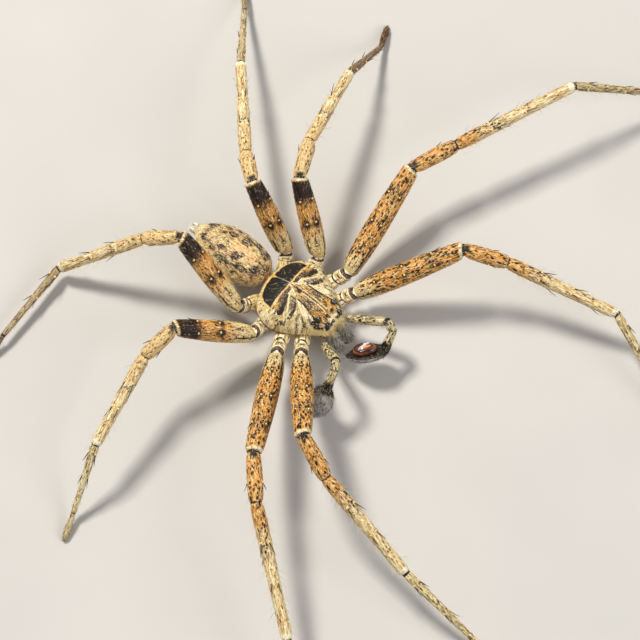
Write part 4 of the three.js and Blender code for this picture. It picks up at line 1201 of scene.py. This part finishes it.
class Coat:
    """The tufts of one piece, gathered from several shells."""

    def __init__(self, name, look):
        self.name, self.look, self.tufts = name, look, []

    def grow(self, shell, density, length, width, lift, curl, pale, spread, where):
        """Spreads tufts over a shell, by what it carries at each root."""
        mesh = shell.data
        points = points_of(shell)
        corners, loops, seeds = triangles_of(mesh, points)
        normals = np.empty(len(points) * 3)
        mesh.vertex_normals.foreach_get("vector", normals)
        flat = np.empty(len(mesh.loops) * 2)
        mesh.uv_layers[0].data.foreach_get("uv", flat)
        data = {"point": points, "normal": normals.reshape(-1, 3)}
        for name in ("place", "lie", "part", "rim", "rear", "smoke"):
            data[name] = carried(shell, name) if name in mesh.attributes else np.zeros(len(points))
        a, b, c = (points[corners[:, k]] for k in range(3))
        wanted = np.linalg.norm(np.cross(b - a, c - a), axis=1) / 2 * density
        if where is not None:
            wanted = wanted * where({name: values[corners].mean(1) for name, values in data.items()})
        seeds = seeds * np.uint64(31) + np.uint64(len(self.tufts))
        chosen = np.repeat(np.arange(len(loops)), np.floor(wanted + chance(seeds, 0)).astype(int))
        turn = np.arange(len(chosen)) - np.searchsorted(chosen, chosen)
        seeds = seeds[chosen] + turn.astype(np.uint64) * np.uint64(1000003)
        reach, across = np.sqrt(chance(seeds, 1)), chance(seeds, 2)
        shares = np.stack([1 - reach, reach * across, reach * (1 - across)], 1)
        tuft = {name: np.einsum("nk,nk...->n...", shares, values[corners[chosen]])
                for name, values in data.items()}
        tuft["uv"] = np.einsum("nk,nkj->nj", shares, flat.reshape(-1, 2)[loops[chosen]])
        tuft["length"] = length * (0.65 + 0.65 * chance(seeds, 3))
        tuft["width"] = width * (0.75 + 0.5 * chance(seeds, 4))
        tuft["lift"] = np.radians(lift) * (0.6 + 0.8 * chance(seeds, 5))
        tuft["own"] = chance(seeds, 6)
        tuft["curl"] = np.full(len(chosen), curl)
        tuft["pale"] = np.full(len(chosen), pale)
        bell = np.sqrt(-2 * np.log(1 - chance(seeds, 7))) * np.cos(2 * np.pi * chance(seeds, 8))
        tuft["swing"] = spread * bell
        self.tufts.append(tuft)

    def finish(self):
        """One mesh of thin, bent, three-sided tufts, each with its own patch on the unrolled skin."""
        t = {name: np.concatenate([tuft[name] for tuft in self.tufts]) for name in self.tufts[0]}
        number = len(t["point"])
        normal = unit(t["normal"])
        along = unit(t["lie"] - normal * (t["lie"] * normal).sum(1)[:, None])
        swing = t["swing"][:, None]
        along = along * np.cos(swing) + np.cross(normal, along) * np.sin(swing)
        side = np.cross(along, normal)
        first = along * np.cos(t["lift"])[:, None] + normal * np.sin(t["lift"])[:, None]
        settled = (t["lift"] * (1 - t["curl"]))[:, None]
        second = along * np.cos(settled) + normal * np.sin(settled)
        half = (t["width"] / 2)[:, None]
        rise = np.maximum((first + second)[:, 2] / 2, 0.01)
        room = np.maximum(TALLEST - t["point"][:, 2], 0.05) / rise
        length = np.minimum(t["length"], room)[:, None]
        root = t["point"] - normal * ROOT_DEPTH
        middle = root + first * length * 0.5
        tip = middle + second * length * 0.5
        stack = [centre + way * half * narrow for centre, narrow in ((root, 1), (middle, 0.8))
                 for way in (-side, side, normal)]
        points = np.stack([*stack, tip], 1)
        points[..., 2] = np.maximum(points[..., 2], LOWEST)
        faces = HAIR_FACES[None] + len(HAIR_HEIGHTS) * np.arange(number)[:, None, None]
        piece = mesh_from(self.name, points.reshape(-1, 3), faces.reshape(-1, 3))
        for name in ("place", "part", "rim", "rear", "smoke", "own", "pale"):
            carry(piece, name, np.repeat(t[name], len(HAIR_HEIGHTS), axis=0))
        carry(piece, "tip", np.tile(HAIR_HEIGHTS, number))
        spots = np.clip(t["uv"], 0.0, 1 - PATCH)[:, None] + HAIR_SQUARE[None]
        unrolled = piece.data.uv_layers.new(name="OFBake")
        unrolled.data.foreach_set("uv", spots[:, HAIR_FACES.ravel()].astype(np.float32).ravel())
        piece.data.materials.append(self.look)
        return piece


def settle(piece, slot, replaced=()):
    """Brings a finished piece to life size and into place, and ties it to the body."""
    pick(piece)
    piece.matrix_world = Matrix.Scale(MM, 4) @ Matrix.Translation(STAND)
    bpy.ops.object.transform_apply(location=True, rotation=True, scale=True)
    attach(piece, "root")
    if replaced:
        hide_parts(*replaced)


def joined(name, pieces):
    """Makes one piece of several."""
    deselect()
    for piece in pieces:
        piece.select_set(True)
    bpy.context.view_layer.objects.active = pieces[0]
    bpy.ops.object.join()
    whole = bpy.context.active_object
    whole.name = whole.data.name = name
    return whole


# The skin's shells

legs = [make_leg(pose) for pose in LEG_POSES]
palps = {side: make_palp(side) for side in SIDES}
cymbia = {side: make_cymbium(side, palps[side][1]) for side in SIDES}
waist_ends = [Vector(end) for end in PEDICEL]
waist_places = [waist_ends[0], (waist_ends[0] + waist_ends[1]) / 2, waist_ends[1]]
spinnerets = []
backward = turn_to(Vector((0, 1, -0.12)))
for sideways, height, length, radius in SPINNERETS:
    for sign in (-1, 1):
        root = Vector(SPINNERET_ROOT) + backward @ Vector((height, sign * sideways, -0.4))
        way = backward @ Vector((0, 0, 1))
        path = [root] + [root + way * (0.4 + length * share) for share in (0.4, 0.8, 0.98)]
        radii = [radius * share for share in (1, 0.95, 0.8, 0.4)]
        spinnerets.append(simple_limb(f"spinneret_{len(spinnerets)}", path, radii))

shells = {
    "carapace": [make_carapace()],
    "abdomen": [make_abdomen()],
    "leg": [shell for shell, _ in legs],
    "palp": [palps[side][0] for side in SIDES],
    "cymbium": [cymbia[side][0] for side in SIDES],
    "chelicera": [organ(f"jaw_{side}", mirrored(CHELICERA["centre"], side), CHELICERA["half"],
                        CHELICERA["dip"], (0, -0.25, -1)) for side in SIDES],
    "spinneret": spinnerets,
    "sternum": [*[organ(f"maxilla_{side}", mirrored(MAXILLA["centre"], side), MAXILLA["half"])
                  for side in SIDES], simple_limb("waist", waist_places, [PEDICEL_RADIUS] * 3)],
}

for group in ("carapace", "abdomen", "chelicera", "spinneret", "sternum"):
    for shell in shells[group]:
        leaning(shell)

# The coat

coat_looks = {kind: coat_look(kind) for kind in HAIR}
coats = []
for name, kind, slot, covered in (
        *[(shell.name.replace("leg", "coat_leg"), "leg", "feet", [shell]) for shell in shells["leg"]],
        ("coat_carapace", "carapace", "carapace", shells["carapace"]),
        ("coat_abdomen", "abdomen", "abdomen", shells["abdomen"]),
        ("coat_mouthparts", "chelicera", "chelicerae", shells["chelicera"]),
        ("coat_palps", "palp", "palps", shells["palp"]),
        ("coat_cymbia", "cymbium", "cymbium", shells["cymbium"]),
        ("coat_spinnerets", "spinneret", "spinnerets", shells["spinneret"])):
    coat = Coat(name, coat_looks[kind])
    for shell in covered:
        for growth in HAIR[kind]:
            coat.grow(shell, *growth)
    coats.append((coat.finish(), slot))

# Spines, with pale collars, whose pale colour is partly the sockets' own tone and partly a painted highlight
# of their shine


def vary_spines(state):
    """A repeatable run of numbers between -1 and 1."""
    while True:
        state = (state * 1664525 + 1013904223) % 4294967296
        yield state / 2147483648 - 1


def model_spine():
    """One spine along +Z, a millimetre long, on a small collar."""
    deselect()
    bpy.ops.mesh.primitive_circle_add(vertices=7, radius=0.13, fill_type="NGON", enter_editmode=True)
    for rise, growth in ((0.08, 1.1), (0.04, 0.75), (0.03, 0.46), (0.2, 1.0), (0.27, 0.8), (0.25, 0.62),
                         (0.15, 0.15)):
        bpy.ops.mesh.extrude_region_move(TRANSFORM_OT_translate={"value": (0, 0, rise)})
        bpy.ops.transform.resize(value=(growth, growth, 1))
    bpy.ops.mesh.select_all(action="SELECT")
    bpy.ops.mesh.quads_convert_to_tris()
    bpy.ops.object.mode_set(mode="OBJECT")
    return bpy.context.active_object


template = model_spine()
spine_points = points_of(template)
spine_faces = np.array([face.vertices[:] for face in template.data.polygons])
bpy.data.objects.remove(template)
points, variation = [], vary_spines(SPINE_SEED)
for (_, joints), pose in zip(legs, LEG_POSES):
    girth = LEG_PAIRS[pose[0] - 1][3]
    for i, segment in enumerate(("femur", "patella", "tibia", "metatarsus"), 1):
        start, end = joints[i], joints[i + 1]
        turn = turn_to(end - start)
        for fraction, degrees, reach in LEG_SPINES[segment]:
            around = math.radians(degrees * (1 + SPINE_VARIATION * next(variation)))
            slope = math.radians(SPINE_LEAN * (1 + SPINE_VARIATION * next(variation)))
            reach *= 1 + SPINE_VARIATION * next(variation)
            radius = float(sampled(SEGMENTS[segment], fraction)[0]) * girth - SPINE_SINK
            outward = turn @ Vector((math.cos(around), math.sin(around), 0))
            way = outward * math.cos(slope) + turn @ Vector((0, 0, 1)) * math.sin(slope)
            root = start.lerp(end, fraction) + outward * radius
            points.append(spine_points * (1, 1, reach) @ np.array(turn_to(way, outward)).T + np.array(root))
triangles = np.concatenate([spine_faces + len(spine_points) * i for i in range(len(points))])
spines = mesh_from("spines", np.concatenate(points), triangles)
carry(spines, "collar", np.tile(spine_points[:, 2] < COLLAR_HEIGHT, len(points)))
# The collars' straw colour is partly the sockets' own pale tone and partly a painted highlight of their
# shine.
spines.data.materials.append(plain_look("spine horn", paint(30, 18, 12), paint(84, 52, 30), 0.22,
                                        collar=STRAW, varnish=(0.6, 0.1)))

# Eyes, fangs and claws

eye_gloss = plain_look("eye gloss", paint(6, 5, 8), paint(24, 16, 20), 0.06, 700, specular=0.8,
                       varnish=(1.0, 0.02))
eyes = []
for kind, (_, _, radius) in EYES.items():
    for side in SIDES:
        centre = mirrored(eye_centre(kind), side)
        eye = leaning(organ(f"lens_{kind}_{side}", centre, (radius, radius, radius), segments=20, rings=14))
        eye.data.materials.append(eye_gloss)
        eyes.append((eye, f"eye_{kind}_{side}"))

horn = plain_look("fang horn", paint(22, 10, 8), paint(86, 34, 20), 0.18, varnish=(0.5, 0.1))
fangs = []
for side in SIDES:
    fang = simple_limb(f"fang_{side}", [mirrored(joint, side) for joint in FANG], FANG_RADII, sides=10)
    fang.data.materials.append(horn)
    fangs.append(leaning(fang))

claws = []
for _, joints in legs:
    ankle, foot = joints[5:]
    ahead = foot - ankle
    ahead.z = 0
    ahead.normalize()
    across = ahead.cross(Vector((0, 0, 1)))
    for sign in (-1, 1):
        root = foot + across * sign * CLAW_SPREAD
        path = [root + ahead * forward + Vector((0, 0, upward)) for forward, upward in CLAW_PATH]
        claws.append(simple_limb(f"claw_{len(claws)}", path, CLAW_RADII, sides=6))
claw_set = joined("claws", claws)
claw_set.data.materials.append(horn)

# The bulbs of the palps, each with its coiled embolus

bulb_gloss = plain_look("bulb", paint(70, 32, 20), paint(176, 98, 62), 0.2, varnish=(0.7, 0.08))
coil_gloss = plain_look("embolus", paint(10, 9, 10), paint(40, 30, 28), 0.15, varnish=(0.8, 0.05))
guide_gloss = plain_look("conductor", paint(190, 202, 222), paint(246, 246, 246), 0.35)
ridge_gloss = plain_look("bulb ridge", paint(206, 116, 66), paint(240, 176, 128), 0.25, varnish=(0.5, 0.1))
HALF_DEPTH, HALF_WIDTH, HALF_LENGTH = (BULB["radius"] * share for share in (0.72, 0.86, BULB["stretch"]))


def make_bulb(side):
    """The bulb of a palp, its embolus, conductor and ridge."""
    wrist, tip = palps[side][1][3:]
    turn = Matrix(cymbia[side][1].tolist())
    centre = wrist + turn @ Vector((-BULB["rise"], 0, BULB["along"] * (tip - wrist).length))

    def on_bulb(y, z, out):
        """A place above the exposed face of the bulb."""
        inside = max(0.0, 1 - (y / HALF_WIDTH) ** 2 - (z / HALF_LENGTH) ** 2)
        return centre + turn @ Vector((-HALF_DEPTH * math.sqrt(inside) - out, y, z))

    bulb = organ(f"bulb_{side}", (0, 0, 0), (HALF_DEPTH, HALF_LENGTH, HALF_WIDTH))
    place_points(bulb, points_of(bulb)[:, [0, 2, 1]] * (1, 1, -1) @ np.array(turn).T + np.array(centre))
    coil = []
    for i in range(COIL_STEPS):
        turned = math.radians(-60 + i * 13)
        reach = 0.93 - 0.008 * i
        y, z = reach * HALF_WIDTH * math.cos(turned), reach * HALF_LENGTH * math.sin(turned)
        coil.append(on_bulb(y, z, 0.03))
    fold = [on_bulb(-0.34 + 0.12 * i - 0.1 * math.sin(i * 1.3), -0.6 + 0.17 * i, 0.02) for i in range(8)]
    bend = [on_bulb(0.12 + 0.05 * i, -0.72 + 0.15 * i, -0.01) for i in range(7)]
    made = [bulb]
    for name, path, radii in (
            ("embolus", coil, [0.085 - 0.002 * i for i in range(COIL_STEPS)]),
            ("conductor", fold, [0.04, 0.09, 0.13, 0.15, 0.14, 0.12, 0.08, 0.03]),
            ("ridge", bend, [0.04, 0.1, 0.15, 0.17, 0.15, 0.1, 0.04])):
        made.append(simple_limb(f"{name}_{side}", path, radii, sides=8))
    for piece, gloss in zip(made, (bulb_gloss, coil_gloss, guide_gloss, ridge_gloss)):
        piece.data.materials.append(gloss)
    return made


bulbs = [piece for side in SIDES for piece in make_bulb(side)]

# One skin from all its shells, each with its own part of the unrolled map: left, bottom, width, height

cells = {shell.name: (0.0, 0.088 * i, 1.0, 0.084) for i, shell in enumerate(shells["leg"])}
cells[shells["carapace"][0].name] = (0.0, 0.71, 0.56, 0.19)
cells[shells["abdomen"][0].name] = (0.57, 0.71, 0.43, 0.19)
small = [shell for kind in ("palp", "cymbium", "chelicera", "spinneret", "sternum") for shell in shells[kind]]
for i, shell in enumerate(small):
    cells[shell.name] = (i / len(small), 0.91, 0.9 / len(small), 0.085)
for kind, group in shells.items():
    material = skin_look(kind)
    for shell in group:
        left, bottom, wide, tall = cells[shell.name]
        layer = shell.data.uv_layers[0]
        flat = np.empty(len(shell.data.loops) * 2)
        layer.data.foreach_get("uv", flat)
        flat = flat.reshape(-1, 2) * (wide, tall) + (left, bottom)
        layer.data.foreach_set("uv", flat.astype(np.float32).ravel())
        shell.data.materials.clear()
        shell.data.materials.append(material)
skin = joined("skin", [shell for group in shells.values() for shell in group])

flesh = [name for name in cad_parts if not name.startswith("eye_")]
settle(skin, "leg_bases", flesh)
for piece, slot in coats:
    settle(piece, slot)
for eye, node in eyes:
    settle(eye, "eyes", [node])
settle(spines, "femora")
settle(claw_set, "feet")
for fang in fangs:
    settle(fang, "chelicerae")
for piece in bulbs:
    settle(piece, "cymbium")

# Floor, light and camera

bpy.ops.mesh.primitive_plane_add(size=4)
floor = bpy.context.active_object
floor.name = "floor"
look = Look("pale floor", 0.9)
grain = look.noise(look.value("ShaderNodeTexCoord", {}, {}, "Object"), (60, 60, 60), 2.0)
look.feed(look.mix(grain, paint(196, 193, 188), paint(206, 203, 198)))
floor.data.materials.append(look.material)

AIM = (Vector((0.73, -2.36, 0)) + STAND) * MM
AZIMUTH, ELEVATION = math.radians(-52.4), math.radians(72)
DISTANCE = 0.3
FIELD = 0.064  # how much the picture takes in at the aim
SENSOR = 36
flat_back = Vector((math.sin(AZIMUTH), -math.cos(AZIMUTH), 0))
back = flat_back * math.cos(ELEVATION) + Vector((0, 0, math.sin(ELEVATION)))
right = Vector((math.cos(AZIMUTH), math.sin(AZIMUTH), 0))
upward = back.cross(right)
bpy.ops.object.camera_add(location=AIM + back * DISTANCE)
camera = bpy.context.active_object
camera.rotation_euler = Matrix((right, upward, back)).transposed().to_euler()
camera.data.sensor_width = SENSOR
camera.data.lens = SENSOR * DISTANCE / FIELD
camera.data.clip_start, camera.data.clip_end = 0.01, 10
bpy.context.scene.camera = camera


def lamp(name, place, size, power, tint):
    """A square lamp that points at the model from a place beside it."""
    bpy.ops.object.light_add(type="AREA", location=AIM + Vector(place))
    light = bpy.context.active_object
    light.name = name
    light.rotation_euler = (-Vector(place)).to_track_quat("-Z", "Y").to_euler()
    light.data.size = size
    light.data.energy = power
    light.data.color = tint


lamp("key", -right * 0.25 + upward * 0.3 + Vector((0, 0, 0.45)), size=0.12, power=4.6, tint=(1.0, 0.96, 0.89))
lamp("fill", right * 0.4 - upward * 0.2 + Vector((0, 0, 0.4)), size=0.3, power=1.3, tint=(0.98, 0.98, 1.0))
world = bpy.data.worlds.new("studio")
world.use_nodes = True
sky = world.node_tree.nodes["Background"]
sky.inputs["Color"].default_value = (0.95, 0.97, 1.0, 1.0)
sky.inputs["Strength"].default_value = 0.3
bpy.context.scene.world = world
bpy.context.scene.view_settings.view_transform = "Standard"
